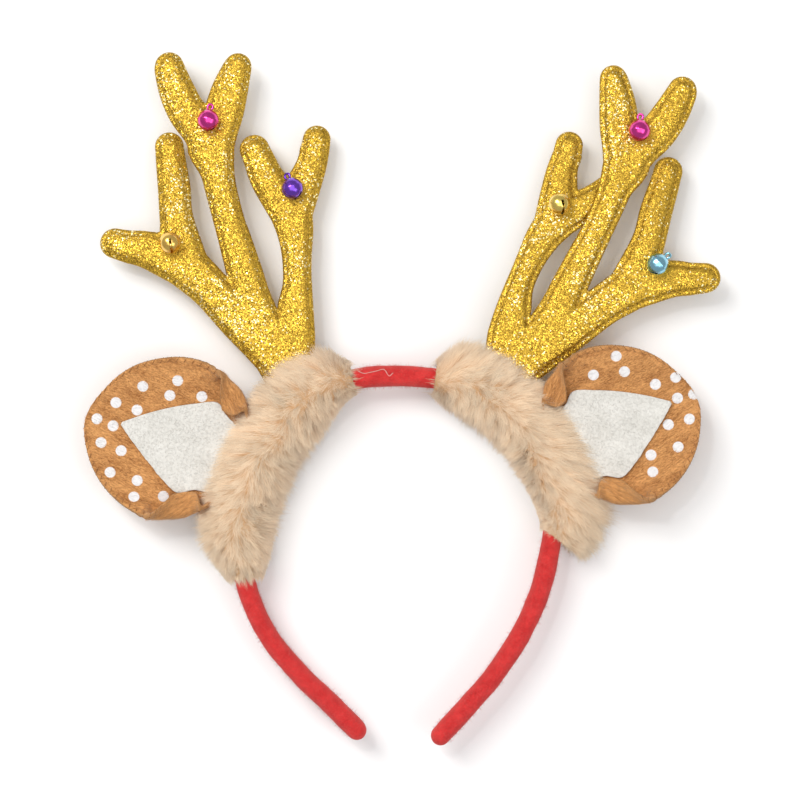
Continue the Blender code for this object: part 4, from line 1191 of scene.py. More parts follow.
@dataclass
class PaddedAntler:
    """A padded antler of glitter cloth, sewn round its edge."""

    hoop: Hoop
    side: Side
    place: float
    shift: float
    lift: float
    turn: float
    stretch: float
    bends: Bends
    groove: float
    mark: float
    height: float = 0.1584
    thickness: float = 0.0046
    prong_width: float = 0.0135
    seam: float = 0.0024
    cell: float = 0.00085
    stitch: float = 0.0017
    pitch: float = 0.0025
    fixed: list[Array] = field(init=False)
    moving: list[list[Array]] = field(init=False)
    root: Array = field(init=False)

    def __post_init__(self) -> None:
        """Lay out the strips of the flat pattern and find the root."""
        self.height *= self.stretch
        size = (self.height, self.height, self.prong_width)
        self.fixed = [smooth_rows(table, 7) * size for table in FIXED_STRIPS]
        self.moving = []
        for branch in (INNER_BRANCH, HIGH_PRONG):
            strips = [smooth_rows(table, 7) * size for table in branch.tables]
            for strip in strips:
                strip[:, :2] = branch.bend(strip[:, :2], self.height, branch.spread)
            self.moving.append(strips)
        point, _, _ = self.hoop.at(self.side.value * self.place)
        self.root = point[0] + np.array([self.side.value * self.shift, self.lift])

    def depths(self, points: Array) -> list[Array]:
        """Return the depths in the fixed strips, the inner branch and the high prong."""
        return [np.max([strip_depth(points, strip) for strip in group], axis=0)
                for group in (self.fixed, *self.moving)]

    def bent(self, points: Array) -> tuple[Array, Array]:
        """Bend the flat pattern.

        Args:
            points: Points on the pattern.

        Returns:
            Their bent places and how far each one leans back.
        """
        rest, inner, prong = self.depths(points)
        place, back = points, np.zeros(len(points))
        bends = self.bends
        settings = ((INNER_BRANCH, inner - np.maximum(rest, prong), bends.inner, bends.inner_back,
                     bends.inner_hold),
                    (HIGH_PRONG, prong - np.maximum(rest, inner), bends.prong, bends.prong_back, 0.0))
        for branch, lead, degrees, lean, hold in settings:
            share = ease(lead / (self.prong_width * 0.6) + 0.5)
            pivot = np.array(branch.pivot) * self.height
            far = np.linalg.norm(points - pivot, axis=1) / (branch.reach * self.height)
            place = place + share[:, None] * (branch.bend(points, self.height, degrees, hold) - points)
            back = back + share * lean * ease(far - 0.25)
        return place, back

    def to_hoop(self, points: Array) -> Array:
        """Return bent points on the hoop's plane: turned about the root, mirrored on the left."""
        return self.root + turned(points, np.zeros(2), math.radians(self.turn)) * (self.side.value, 1.0)

    def in_space(self, points: Array, rise: Array | float) -> Array:
        """Return pattern points in space, at heights above the pattern's middle plane."""
        place, back = self.bent(points)
        return np.column_stack([self.to_hoop(place), LIE_HEIGHT - back + rise])

    def depth(self, points: Array) -> Array:
        """Return the depth in the pattern, which ends just short of the hoop."""
        clear = self.hoop.gap(self.to_hoop(points)) - self.hoop.thickness / 2 - CLEARANCE
        return np.minimum(np.max(self.depths(points), axis=0), clear)

    def half(self, depth: Array, points: Array) -> Array:
        """Give the pad half its thickness.

        The sewn edge is a round welt as wide as the seam is deep, the seam pulls it in by a narrow
        groove, and inside the seam the filling swells as the root of 1 - (1 - s)^2, with s the
        share of 4.2 mm.

        Args:
            depth: The depths inside the outline.
            points: The pattern's points, for the uneven filling.

        Returns:
            Half the thickness at each point.
        """
        edge = np.sqrt(1.0 - (1.0 - np.clip(depth / (self.seam / 2), 0.0, 1.0)) ** 2)
        swell = np.clip((depth - 0.8 * self.seam) / 0.0042, 0.0, 1.0)
        dome = np.sqrt(1.0 - (1.0 - swell) ** 2)
        thin = 0.00030 + 0.00095 * edge
        pulled = self.groove * np.exp(-((depth - self.seam) / 0.00065) ** 2)
        spots = np.column_stack([points, np.full(len(points), 0.01)])
        uneven = 0.00022 * soft_noise(spots, 0.009, 7) * dome
        return np.maximum(thin + (self.thickness / 2 - 0.00095) * dome - pulled + uneven, 0.0002)

    def cells(self) -> tuple[Array, Array, Array]:
        """Cover the pattern with a net of small triangles.

        Net points near the outline move onto it along the depth's slope, and edges that cross the
        outline are cut there.

        Returns:
            The points, the flags of those on the outline, and the triangles.
        """
        low = np.array((-0.30, -0.10)) * self.height
        high = np.array((0.62, 1.04)) * self.height
        rise = self.cell * math.sqrt(3) / 2
        up_count = int((high[1] - low[1]) / rise) + 3
        out_count = int((high[0] - low[0]) / self.cell + up_count / 2) + 4
        column, row = np.meshgrid(np.arange(out_count), np.arange(up_count), indexing="ij")
        out = low[0] + (column + row / 2 - up_count / 2 - 1) * self.cell
        net = np.stack([out, low[1] + (row - 1) * rise], axis=-1).reshape(-1, 2)
        value = np.full(len(net), -1.0)
        seen = (net[:, 0] > low[0]) & (net[:, 0] < high[0])
        value[seen] = self.depth(net[seen])
        tolerance = 0.3 * self.cell
        inside = (value > tolerance).reshape(out_count, up_count)
        beside = ((1, 0), (0, 1), (-1, 1), (-1, 0), (0, -1), (1, -1))
        ring = [np.roll(inside, shift, axis=(0, 1)) for shift in beside]
        changes = sum(ring[index] != ring[index - 1] for index in range(6))
        inside, changes = inside.ravel(), changes.ravel()
        near = ~inside & (value > -tolerance) & (changes <= 2)

        index = np.arange(out_count * up_count).reshape(out_count, up_count)
        lower = np.stack([index[:-1, :-1], index[1:, :-1], index[:-1, 1:]], axis=-1).reshape(-1, 3)
        upper = np.stack([index[1:, :-1], index[1:, 1:], index[:-1, 1:]], axis=-1).reshape(-1, 3)
        cells = np.concatenate([lower, upper])
        count = inside[cells].sum(axis=1)
        cells, count = cells[count > 0], count[count > 0]
        for _ in range(2):
            turn = (count == 1) & ~inside[cells[:, 0]] | (count == 2) & inside[cells[:, 2]]
            cells = np.where(turn[:, None], np.roll(cells, -1, axis=1), cells)
        total = len(net)

        def outline(start: Array, stop: Array) -> Array:
            """Return a number for the outline's point on the way from an inner to an outer point."""
            return np.where(near[stop], stop, total + start * total + stop)

        first, second, third = cells[count == 2].T
        alone, left, right = cells[count == 1].T
        cut_second, cut_first = outline(second, third), outline(first, third)
        triangles = np.concatenate([
            cells[count == 3], np.stack([first, second, cut_second], axis=1),
            np.stack([first, cut_second, cut_first], axis=1),
            np.stack([alone, outline(alone, left), outline(alone, right)], axis=1)])
        after = np.roll(triangles, -1, axis=1)
        keys, triangles = np.unique(triangles[(triangles != after).all(axis=1)], return_inverse=True)
        triangles = triangles.reshape(-1, 3)
        on_net = keys < total
        start = np.where(on_net, keys, (keys - total) // total)
        stop = np.where(on_net, keys, (keys - total) % total)
        outside = np.minimum(value[stop], -0.3 * tolerance)
        share = np.where(on_net, 0.0, value[start] / np.where(on_net, 1.0, value[start] - outside))
        points = net[start] + share[:, None] * (net[stop] - net[start])
        rim = ~on_net | near[start]
        points[rim] = self.onto_outline(points[rim])
        return points, rim, triangles

    def onto_outline(self, points: Array) -> Array:
        """Move points onto the outline, in three steps of depth times slope over slope squared."""
        step = self.cell * 0.02
        for _ in range(3):
            here = self.depth(points)
            beside, above = (self.depth(points + shift) for shift in ((step, 0), (0, step)))
            slope = np.stack([beside - here, above - here], axis=1) / step
            move = -(here / np.maximum((slope * slope).sum(axis=1), 0.25))[:, None] * slope
            limit = 0.35 * self.cell / np.maximum(np.linalg.norm(move, axis=1), 1e-9)
            points = points + move * np.minimum(limit, 1.0)[:, None]
        return points

    def pad_mesh(self, points: Array, triangles: Array, depth: Array) -> bpy.types.Mesh:
        """Raise the net to both sides and close it round the outline.

        Args:
            points: The net's points.
            triangles: The net's triangles.
            depth: The depths of its points.

        Returns:
            The pad's mesh.
        """
        half = self.half(depth, points)
        count = len(points)
        flat = self.in_space(points, 0.0)
        solid = np.concatenate([flat + half[:, None] * UPWARDS, flat - half[:, None] * UPWARDS])
        edges = np.concatenate([triangles[:, [0, 1]], triangles[:, [1, 2]], triangles[:, [2, 0]]])
        codes = edges[:, 0] * count + edges[:, 1]
        single = edges[~np.isin(codes, edges[:, 1] * count + edges[:, 0])]
        wall = np.stack([single[:, 1], single[:, 0], single[:, 0] + count, single[:, 1] + count], axis=1)
        faces = [triangles, triangles[:, ::-1] + count, wall]
        sewn = np.exp(-((depth - self.seam) / 0.0003) ** 2) * self.mark
        return mesh_of("antler_pad_" + self.side.word, solid, facing_out(solid, faces),
                       {"sewn": np.tile(sewn, 2)})

    def seam_lines(self, points: Array, triangles: Array, depth: Array) -> list[Array]:
        """Trace the seam, where the depth is the seam's.

        Each triangle that the seam crosses is entered over one edge and left over another, so
        each has one next triangle. Doubling the steps finds the loops and the order in them.

        Args:
            points: The net's points.
            triangles: The net's triangles.
            depth: The depths of its points.

        Returns:
            The points of each loop in order.
        """
        above = depth > self.seam
        count = above[triangles].sum(axis=1)
        mixed, count = triangles[(count == 1) | (count == 2)], count[(count == 1) | (count == 2)]
        lone = count == 1
        for _ in range(2):
            turn = above[mixed[:, 0]] != lone
            mixed = np.where(turn[:, None], np.roll(mixed, -1, axis=1), mixed)
        first, second, third = mixed.T
        total = len(points)
        enter = np.where(lone, first * total + second, third * total + first)
        leave = np.where(lone, first * total + third, second * total + first)
        order = np.argsort(enter)
        follow = order[np.searchsorted(enter[order], leave)]
        size = len(mixed)
        rounds = int(math.ceil(math.log2(size))) + 1
        lowest, jump = np.arange(size), follow.copy()
        for _ in range(rounds):
            lowest, jump = np.minimum(lowest, lowest[jump]), jump[jump]
        jump = np.where(lowest == np.arange(size), np.arange(size), follow)
        steps = (jump != np.arange(size)).astype(int)
        for _ in range(rounds):
            steps, jump = steps + steps[jump], jump[jump]
        high, low = enter // total, enter % total
        share = (depth[high] - self.seam) / (depth[high] - depth[low])
        spots = points[high] + share[:, None] * (points[low] - points[high])
        sequence = np.lexsort((-steps, lowest))
        cuts = np.flatnonzero(np.diff(lowest[sequence])) + 1
        return [spots[part] for part in np.split(sequence, cuts) if len(part) > 20]

    def stitch_mesh(self, loops: list[Array]) -> bpy.types.Mesh:
        """Sew both faces along the seam.

        Each stitch is a short round thread whose radius at share s of its length is the root of
        4 * s * (1 - s), sunk by half into the seam.

        Args:
            loops: The seam's loops.

        Returns:
            The stitches as one mesh.
        """
        spots, ways = [], []
        for loop in loops:
            closed = np.concatenate([loop, loop[:1]])
            for _ in range(6):
                closed[1:-1] = 0.25 * closed[:-2] + 0.5 * closed[1:-1] + 0.25 * closed[2:]
            length = np.concatenate([[0.0], np.cumsum(np.linalg.norm(np.diff(closed, axis=0), axis=1))])
            at = np.arange(0.5, length[-1] / self.pitch - 0.5) * self.pitch
            ends = [np.stack([np.interp(at + way, length, closed[:, axis]) for axis in (0, 1)], axis=1)
                    for way in (-self.stitch / 2, self.stitch / 2)]
            spots.append(ends[0])
            ways.append(ends[1])
        start, stop = np.concatenate(spots), np.concatenate(ways)
        share = np.array([0.02, 0.25, 0.5, 0.75, 0.98])[None, :, None]
        rise = self.half(np.full(len(start), self.seam), start) + 0.00006
        lines = []
        for face in (1.0, -1.0):
            first, last = self.in_space(start, face * rise), self.in_space(stop, face * rise)
            bow = face * 0.00012 * (4 * share * (1 - share)) * UPWARDS
            lines.append(first[:, None] + share * (last - first)[:, None] + bow)
        radius = 0.00020 * np.sqrt(4 * share * (1 - share)).ravel()
        lines = np.concatenate(lines)
        solids, groups = threads(lines, radius, np.tile(UPWARDS, (len(lines), 1)))
        return mesh_of("antler_stitches_" + self.side.word, solids, groups)

    def dress(self, glitter: bpy.types.Material, thread: bpy.types.Material) -> None:
        """Make the pad and its stitches.

        Args:
            glitter: The cloth.
            thread: The sewing thread.
        """
        points, rim, triangles = self.cells()
        depth = np.where(rim, 0.0, self.depth(points))
        word = self.side.word
        pad = show_piece("antler_pad_" + word, self.pad_mesh(points, triangles, depth), glitter,
                         "gold_glitter", "antler_" + word)
        stitches = self.stitch_mesh(self.seam_lines(points, triangles, depth))
        show_piece("antler_stitches_" + word, stitches, thread, "gold_glitter")


# The ears

@dataclass
class PlushEar:
    """A plush ear with its base edges folded forward, and a felt triangle on its front.

    Each of its rows is a section: its place as a share of the length, its upper and lower reach
    as shares of half the width, the two folds' angles in degrees, and the two flaps as shares of
    the full flap. The felt's rows have a place, and the upper and lower reach as shares of the
    felt's own sizes.
    """

    hoop: Hoop
    side: Side
    place_along: float
    turn: float
    rise: float
    stretch: float
    length: float = 0.0780
    width: float = 0.0765
    thickness: float = 0.0030
    cup: float = 0.0050
    fold_radius: float = 0.0028
    flap: float = 0.0125
    felt_length: float = 0.0622
    felt_width: float = 0.0445
    felt_thickness: float = 0.0015
    pitch: float = 0.0036
    rows: Rows = (
        (0.06, 0.42, 0.42, 0.0, 0.0, 0.25, 0.25),
        (0.16, 0.62, 0.60, 70.0, 70.0, 0.60, 0.60),
        (0.25, 0.80, 0.77, 172.0, 172.0, 1.00, 1.00),
        (0.33, 0.855, 0.87, 160.0, 172.0, 0.60, 1.00),
        (0.41, 0.92, 0.94, 60.0, 120.0, 0.25, 0.50),
        (0.50, 0.95, 0.98, 12.0, 25.0, 0.25, 0.25),
        (0.62, 0.905, 0.95, 8.0, 8.0, 0.25, 0.25),
        (0.74, 0.785, 0.855, 6.0, 6.0, 0.25, 0.25),
        (0.85, 0.61, 0.70, 5.0, 5.0, 0.25, 0.25),
        (0.93, 0.38, 0.515, 4.0, 4.0, 0.25, 0.25),
        (0.98, 0.11, 0.345, 3.0, 3.0, 0.25, 0.25),
        (1.00, -0.06, 0.210, 2.0, 2.0, 0.25, 0.25),
    )
    felt_rows: Rows = (
        (0.22, 0.72, 0.72), (0.33, 0.84, 0.81), (0.43, 1.00, 0.99), (0.57, 0.80, 0.86),
        (0.72, 0.53, 0.65), (0.87, 0.20, 0.42), (1.00, -0.14, 0.20),
    )
    matrix: Array = field(init=False)

    def __post_init__(self) -> None:
        """Find the ear's place on the hoop."""
        self.length *= self.stretch
        point, _, _ = self.hoop.at(self.side.value * self.place_along)
        angle = math.radians(self.turn)
        along = Vector((self.side.value * math.cos(angle), math.sin(angle), 0.0))
        across = Vector((-math.sin(angle), math.cos(angle) * self.side.value, 0.0))
        lean = Matrix.Rotation(math.radians(-self.rise), 4, "Y")
        axes = Matrix((along, across, (0, 0, 1))).transposed().to_4x4()
        self.matrix = np.array(Matrix.Translation((*point[0], LIE_HEIGHT)) @ axes @ lean)

    def in_space(self, local: Array) -> Array:
        """Return points of the ear's own frame, along, across and up, in space."""
        flipped = local * (1.0, -self.side.value, 1.0)
        return flipped @ self.matrix[:3, :3].T + self.matrix[:3, 3]

    def fold(self, reach: Array, curl: Array, flap: Array, half: Array) -> tuple[Array, Array, Array]:
        """Curl one edge of each section forward.

        The cloth leaves the ear's face along an arc whose length is that of 150 degrees of the
        fold's radius, up to the curl's angle, and goes on straight over the flap.

        Args:
            reach: How far the folded edge lies from the ear's middle line.
            curl: The angle of the curl in degrees.
            flap: The flap's share of its full length.
            half: Half the section's width.

        Returns:
            How far out each point is, how far up, and its direction's angle.
        """
        angle = np.maximum(np.radians(curl), 0.02)[:, None]
        arc = np.minimum(self.fold_radius * math.radians(150.0), 0.3 * half)[:, None]
        free = np.minimum(np.maximum(flap, 0.0) * self.flap, 0.3 * half)[:, None]
        radius = arc / angle
        corner = radius * np.sin(np.minimum(angle, math.pi / 2))
        end_out = radius * np.sin(angle)
        extent = np.maximum(corner, end_out + free * np.cos(angle))
        turns = angle * np.linspace(0.0, 1.0, 12)[None]
        straight = np.linspace(0.0, 1.0, 8)[None, 1:]
        out = np.concatenate([radius * np.sin(turns), end_out + free * np.cos(angle) * straight], axis=1)
        up = np.concatenate([radius * (1 - np.cos(turns)),
                             radius * (1 - np.cos(angle)) + free * np.sin(angle) * straight], axis=1)
        turn = np.concatenate([turns, np.broadcast_to(angle, (len(angle), 7))], axis=1)
        return reach[:, None] - extent + out, up, turn

    def plush_mesh(self) -> tuple[bpy.types.Mesh, dict[str, Array]]:
        """Make the ear.

        Its middle surface is a row of sections, each with two folds, bent forward by the cup at
        the square of its share of the half width. Both faces lie half a thickness away, rounded
        at the rim and pulled in at each stitch of the rim's seam.

        Returns:
            The mesh, and the two faces' points, directions, cloth coordinates, fold angles,
            runs along both rims and distances from them.
        """
        rows = smooth_rows(self.rows, 8)
        half_width = self.width / 2
        upper, lower = rows[:, 1] * half_width, rows[:, 2] * half_width
        half = (upper + lower) / 2
        top_out, top_up, top_turn = self.fold(upper, rows[:, 3], rows[:, 5], half)
        low_out, low_up, low_turn = self.fold(lower, rows[:, 4], rows[:, 6], half)
        span = np.linspace(0.0, 1.0, 44)[None, 1:-1]
        middle = -top_out[:, :1] + (low_out[:, :1] + top_out[:, :1]) * span
        across = np.concatenate([-top_out[:, ::-1], middle, low_out], axis=1)
        up = np.concatenate([top_up[:, ::-1], 0.0 * middle, low_up], axis=1)
        turn = np.concatenate([-top_turn[:, ::-1], 0.0 * middle, low_turn], axis=1)
        up = up + self.cup * (across / half_width) ** 2
        tilt = turn + np.arctan(2 * self.cup * across / half_width ** 2)
        along = np.broadcast_to(rows[:, :1] * self.length, across.shape).copy()
        to_hoop = self.seam_reach(across[0]) - along[0]
        along[:8] += ease(1.0 - np.arange(8) / 8)[:, None] * to_hoop[None]

        step = np.hypot(np.diff(across, axis=1), np.diff(up, axis=1))
        cloth = np.concatenate([np.zeros((len(rows), 1)), np.cumsum(step, axis=1)], axis=1)
        centre = np.array([np.interp(0.0, row, length) for row, length in zip(across, cloth)])
        edge = np.minimum(cloth, cloth[:, -1:] - cloth)
        edge = np.minimum(edge, (self.length - along) + 0.0004)
        rim_steps = [np.hypot(np.diff(across[:, side]), np.diff(along[:, side])) for side in (0, -1)]
        rim = np.stack([np.concatenate([[0.0], np.cumsum(steps)]) for steps in rim_steps])
        nearer = np.where(cloth < cloth[:, -1:] / 2, rim[0][:, None], rim[1][:, None])
        at_stitch = (0.5 + 0.5 * np.cos(2 * math.pi * nearer / self.pitch)) ** 2
        pinch = 0.5 * np.exp(-(edge / 0.0018) ** 2) * at_stitch
        round_rim = np.sqrt(1.0 - (1.0 - np.clip((edge + 0.0003) / 0.0017, 0.0, 1.0)) ** 2)
        local = np.stack([along, across, up], axis=-1)
        wall = np.stack([0.0 * tilt, -np.sin(tilt), np.cos(tilt)], axis=-1)
        gathers = np.exp(-along / 0.024) * np.sin(across / 0.0017 + 3.0 * soft_noise(local, 0.008, 21))
        wave = 0.00055 * soft_noise(local, 0.010, 22) + 0.00050 * gathers
        half_wall = self.thickness / 2 * (0.25 + 0.75 * round_rim) * (1.0 - pinch)
        seam_dip = 0.0004 * np.exp(-((edge - 0.0026) / 0.0008) ** 2)
        front = local + wall * (half_wall - seam_dip + wave)[..., None]
        back = local - wall * (half_wall - wave)[..., None]
        sections = self.in_space(np.concatenate([front, back[:, ::-1]], axis=1))
        coordinates = np.stack([along, cloth - centre[:, None], 0.0 * along], axis=-1)
        both = np.concatenate([coordinates, coordinates[:, ::-1] + (0.0, 0.0, 0.5)], axis=1)
        mesh = mesh_of("ear_plush_" + self.side.word, *skin(sections), {"cloth": with_ends(both)})
        ways = wall * (1.0, -self.side.value, 1.0) @ self.matrix[:3, :3].T
        insets = np.stack([cloth, (cloth[:, -1:] - cloth)[:, ::-1]])
        return mesh, {"place": self.in_space(front), "under": self.in_space(back), "way": ways,
                      "cloth": coordinates, "turn": turn, "rim": rim, "insets": insets}

    def seam_reach(self, across: Array) -> Array:
        """Return how far from the ear's root each part of its edge meets the hoop's outer side."""
        reach = np.full(len(across), self.hoop.thickness / 2)
        for _ in range(8):
            flat = self.in_space(np.stack([reach, across, 0.0 * across], axis=1))[:, :2]
            reach = reach + self.hoop.thickness / 2 + 2 * CLEARANCE - self.hoop.gap(flat)
        return np.maximum(reach, self.hoop.thickness / 2 + 2 * CLEARANCE)

    def nap_mesh(self, face: dict[str, Array], dots: Array, radius: float) -> bpy.types.Mesh:
        """Brush short fibres over the ear's front and its folds.

        Args:
            face: The ear's faces.
            dots: The printed dots' centres.
            radius: Their radius.

        Returns:
            The fibres as one mesh.
        """
        rng = np.random.default_rng(60 + int(self.side.value))
        count = 11000
        place = np.stack([face["place"], face["under"]])
        way = np.stack([face["way"], -face["way"]])
        cloth = np.stack([face["cloth"], face["cloth"] + (0.0, 0.0, 0.5)])
        corner = place[:, :-1, :-1]
        area = np.linalg.norm(np.cross(place[:, 1:, :-1] - corner, place[:, :-1, 1:] - corner), axis=-1)
        folded = np.abs(face["turn"][:-1, :-1]) > 1.4
        weight = area * np.stack([~folded, folded])
        picked = rng.choice(weight.size, count, p=(weight / weight.sum()).ravel())
        sheet, cell = np.divmod(picked, weight[0].size)
        row, column = np.divmod(cell, weight.shape[2])
        down, beside = rng.random((2, count, 1))

        def mixed(grid: Array) -> Array:
            """Return a grid's values at the fibres' roots."""
            near = grid[sheet, row, column] * (1 - beside) + grid[sheet, row, column + 1] * beside
            next_row = row + 1
            far = grid[sheet, next_row, column] * (1 - beside) + grid[sheet, next_row, column + 1] * beside
            return near * (1 - down) + far * down

        root, out, spot = mixed(place), unit(mixed(way)), mixed(cloth)
        brush = unit(place[sheet, row + 1, column] - place[sheet, row, column])
        beside_it = np.cross(out, brush)
        drift = 0.45 + 0.5 * soft_noise(root, 0.006, 23)[:, None] + rng.normal(0, 0.25, (count, 1))
        lean = unit(brush + drift * beside_it)
        reach = rng.uniform(0.0007, 0.0014, (count, 1))
        paths = np.stack([root - 0.0001 * out, root + reach * (0.35 * out + 0.45 * lean),
                          root + reach * (0.40 * out + 0.95 * lean)], axis=1)
        points, faces = ribbons(paths, np.tile([0.00010, 0.00008], (count, 1)), out)
        on_dot = (np.linalg.norm(spot[:, None, :2] - dots[None], axis=-1) < radius).any(axis=1)
        printed = on_dot & (sheet == 0)
        keep = np.repeat(~printed, 3)
        values = {"reach": on_ribbons(np.tile([0.0, 0.5, 1.0], (count, 1))),
                  "tone": np.repeat(rng.uniform(0.7, 1.2, count), 5)}
        return mesh_of("ear_nap_" + self.side.word, points, [faces[keep]], values,
                       np.repeat(out, 5, axis=0))

    def whip_mesh(self, face: dict[str, Array]) -> bpy.types.Mesh:
        """Sew the rim with slanting threads.

        Each thread starts on the front 2.3 mm from the rim, goes over the rim and ends on the
        back, 1.2 mm farther along. Its points are read off the two faces at insets from the rim.

        Args:
            face: The ear's faces.

        Returns:
            The threads as one mesh.
        """
        lines, references = [], []
        for side, flip in ((0, slice(None)), (1, slice(None, None, -1))):
            run, inset = face["rim"][side], face["insets"][side]
            front, back, way = (face[key][:, flip] for key in ("place", "under", "way"))
            start = np.interp(0.40, self.row_places(), run)
            at = np.arange(math.ceil(start / self.pitch), int(run[-1] / self.pitch)) * self.pitch

            def read(grid: Array, shift: float, deep: float) -> Array:
                """Return a face's values near each stitch, at an inset from the rim."""
                spot = np.interp(at + shift, run, np.arange(len(run)))
                low = np.minimum(spot.astype(int), len(run) - 2)
                share = (spot - low)[:, None]
                away = inset[low] * (1 - share) + inset[low + 1] * share
                values = grid[low] * (1 - share)[..., None] + grid[low + 1] * share[..., None]
                column = np.clip((away < deep).sum(axis=1), 1, away.shape[1] - 1)
                each = np.arange(len(at))
                before, after = away[each, column - 1], away[each, column]
                part = np.clip((deep - before) / (after - before), 0.0, 1.0)[:, None]
                return values[each, column - 1] * (1 - part) + values[each, column] * part

            edge = (read(front, 0.0, 0.0) + read(back, 0.0, 0.0)) / 2
            outwards = unit(edge - read(front, 0.0, 0.003))
            up = unit(read(way, 0.0, 0.001))
            lines.append(np.stack([
                read(front, 0.0006, 0.0023) - 0.0001 * up, read(front, 0.0005, 0.0017) + 0.00022 * up,
                read(front, 0.0003, 0.0008) + 0.00026 * up, edge + 0.00030 * outwards,
                read(back, -0.0003, 0.0008) - 0.00026 * up, read(back, -0.0006, 0.0020)], axis=1))
            references.append(unit(read(front, 0.001, 0.0) - read(front, -0.001, 0.0)))
        lines = np.concatenate(lines)
        radius = 0.00016 * np.array([0.6, 1.0, 1.0, 1.0, 1.0, 0.6])
        return mesh_of("ear_stitches_" + self.side.word,
                       *threads(lines, radius, np.concatenate(references)))

    def row_places(self) -> Array:
        """Return each section's share of the ear's length."""
        return smooth_rows(self.rows, 8)[:, 0]

    def felt_mesh(self) -> tuple[bpy.types.Mesh, float]:
        """Make the felt triangle.

        It is a row of straight sections between the table's two edges, bent like the ear, with
        both faces half a thickness away and a soft edge.

        Returns:
            The mesh and the flat area that it was cut from.
        """
        rows = smooth_rows(self.felt_rows, 10)
        along = rows[:, 0] * self.felt_length
        low, high = -rows[:, 1] * self.felt_width / 2, rows[:, 2] * self.felt_width / 2
        share = 0.5 - 0.5 * np.cos(np.linspace(0.0, math.pi, 46))
        across = low[:, None] + (high - low)[:, None] * share[None]
        lift = self.thickness / 2 + CLEARANCE * 1.5 + self.felt_thickness / 2
        half_width = self.width / 2
        tilt = np.arctan(2 * self.cup * across / half_width ** 2)
        local = np.stack([np.broadcast_to(along[:, None], across.shape), across,
                          self.cup * (across / half_width) ** 2 + lift], axis=-1)
        wall = np.stack([0.0 * tilt, -np.sin(tilt), np.cos(tilt)], axis=-1)
        edge = np.minimum(across - low[:, None], high[:, None] - across)
        edge = np.minimum(edge, (along[-1] - along)[:, None] * 0.8)
        soft = np.sqrt(1.0 - (1.0 - np.clip((edge + 0.0002) / 0.0007, 0.0, 1.0)) ** 2)
        rag = 0.00018 * soft_noise(local, 0.0012, 31) * np.exp(-edge / 0.001)
        wave = 0.00020 * soft_noise(local, 0.007, 32) + 0.00006 * soft_noise(local, 0.0018, 33)
        half_wall = self.felt_thickness / 2 * (0.35 + 0.65 * soft)
        local = local + np.stack([rag, rag, 0.0 * rag], axis=-1)
        front = local + wall * (half_wall + wave)[..., None]
        back = local - wall * half_wall[..., None]
        sections = self.in_space(np.concatenate([front, back[:, ::-1]], axis=1))
        width = high - low
        area = float(((width[1:] + width[:-1]) / 2 * np.diff(along)).sum())
        return mesh_of("ear_felt_sheet_" + self.side.word, *skin(sections)), area

    def dress(self, plush: PlushFinish, nap: bpy.types.Material, felt: bpy.types.Material,
              thread: bpy.types.Material) -> None:
        """Make the ear, its nap, its stitches and its felt triangle.

        Args:
            plush: The plush with its dots.
            nap: The loose fibres on it.
            felt: The triangle's felt.
            thread: The sewing thread.
        """
        word = self.side.word
        mesh, face = self.plush_mesh()
        ear = show_piece("ear_plush_" + word, mesh, plush.material(), "brown_plush", "ear_" + word)
        fibres = self.nap_mesh(face, np.array(plush.centres), plush.radius)
        show_piece("ear_nap_" + word, fibres, nap, "brown_plush")
        show_piece("ear_stitches_" + word, self.whip_mesh(face), thread, "brown_plush")
        mesh, area = self.felt_mesh()
        sheet = show_piece("ear_felt_sheet_" + word, mesh, felt, "white_felt", "ear_felt_" + word)


# The bells

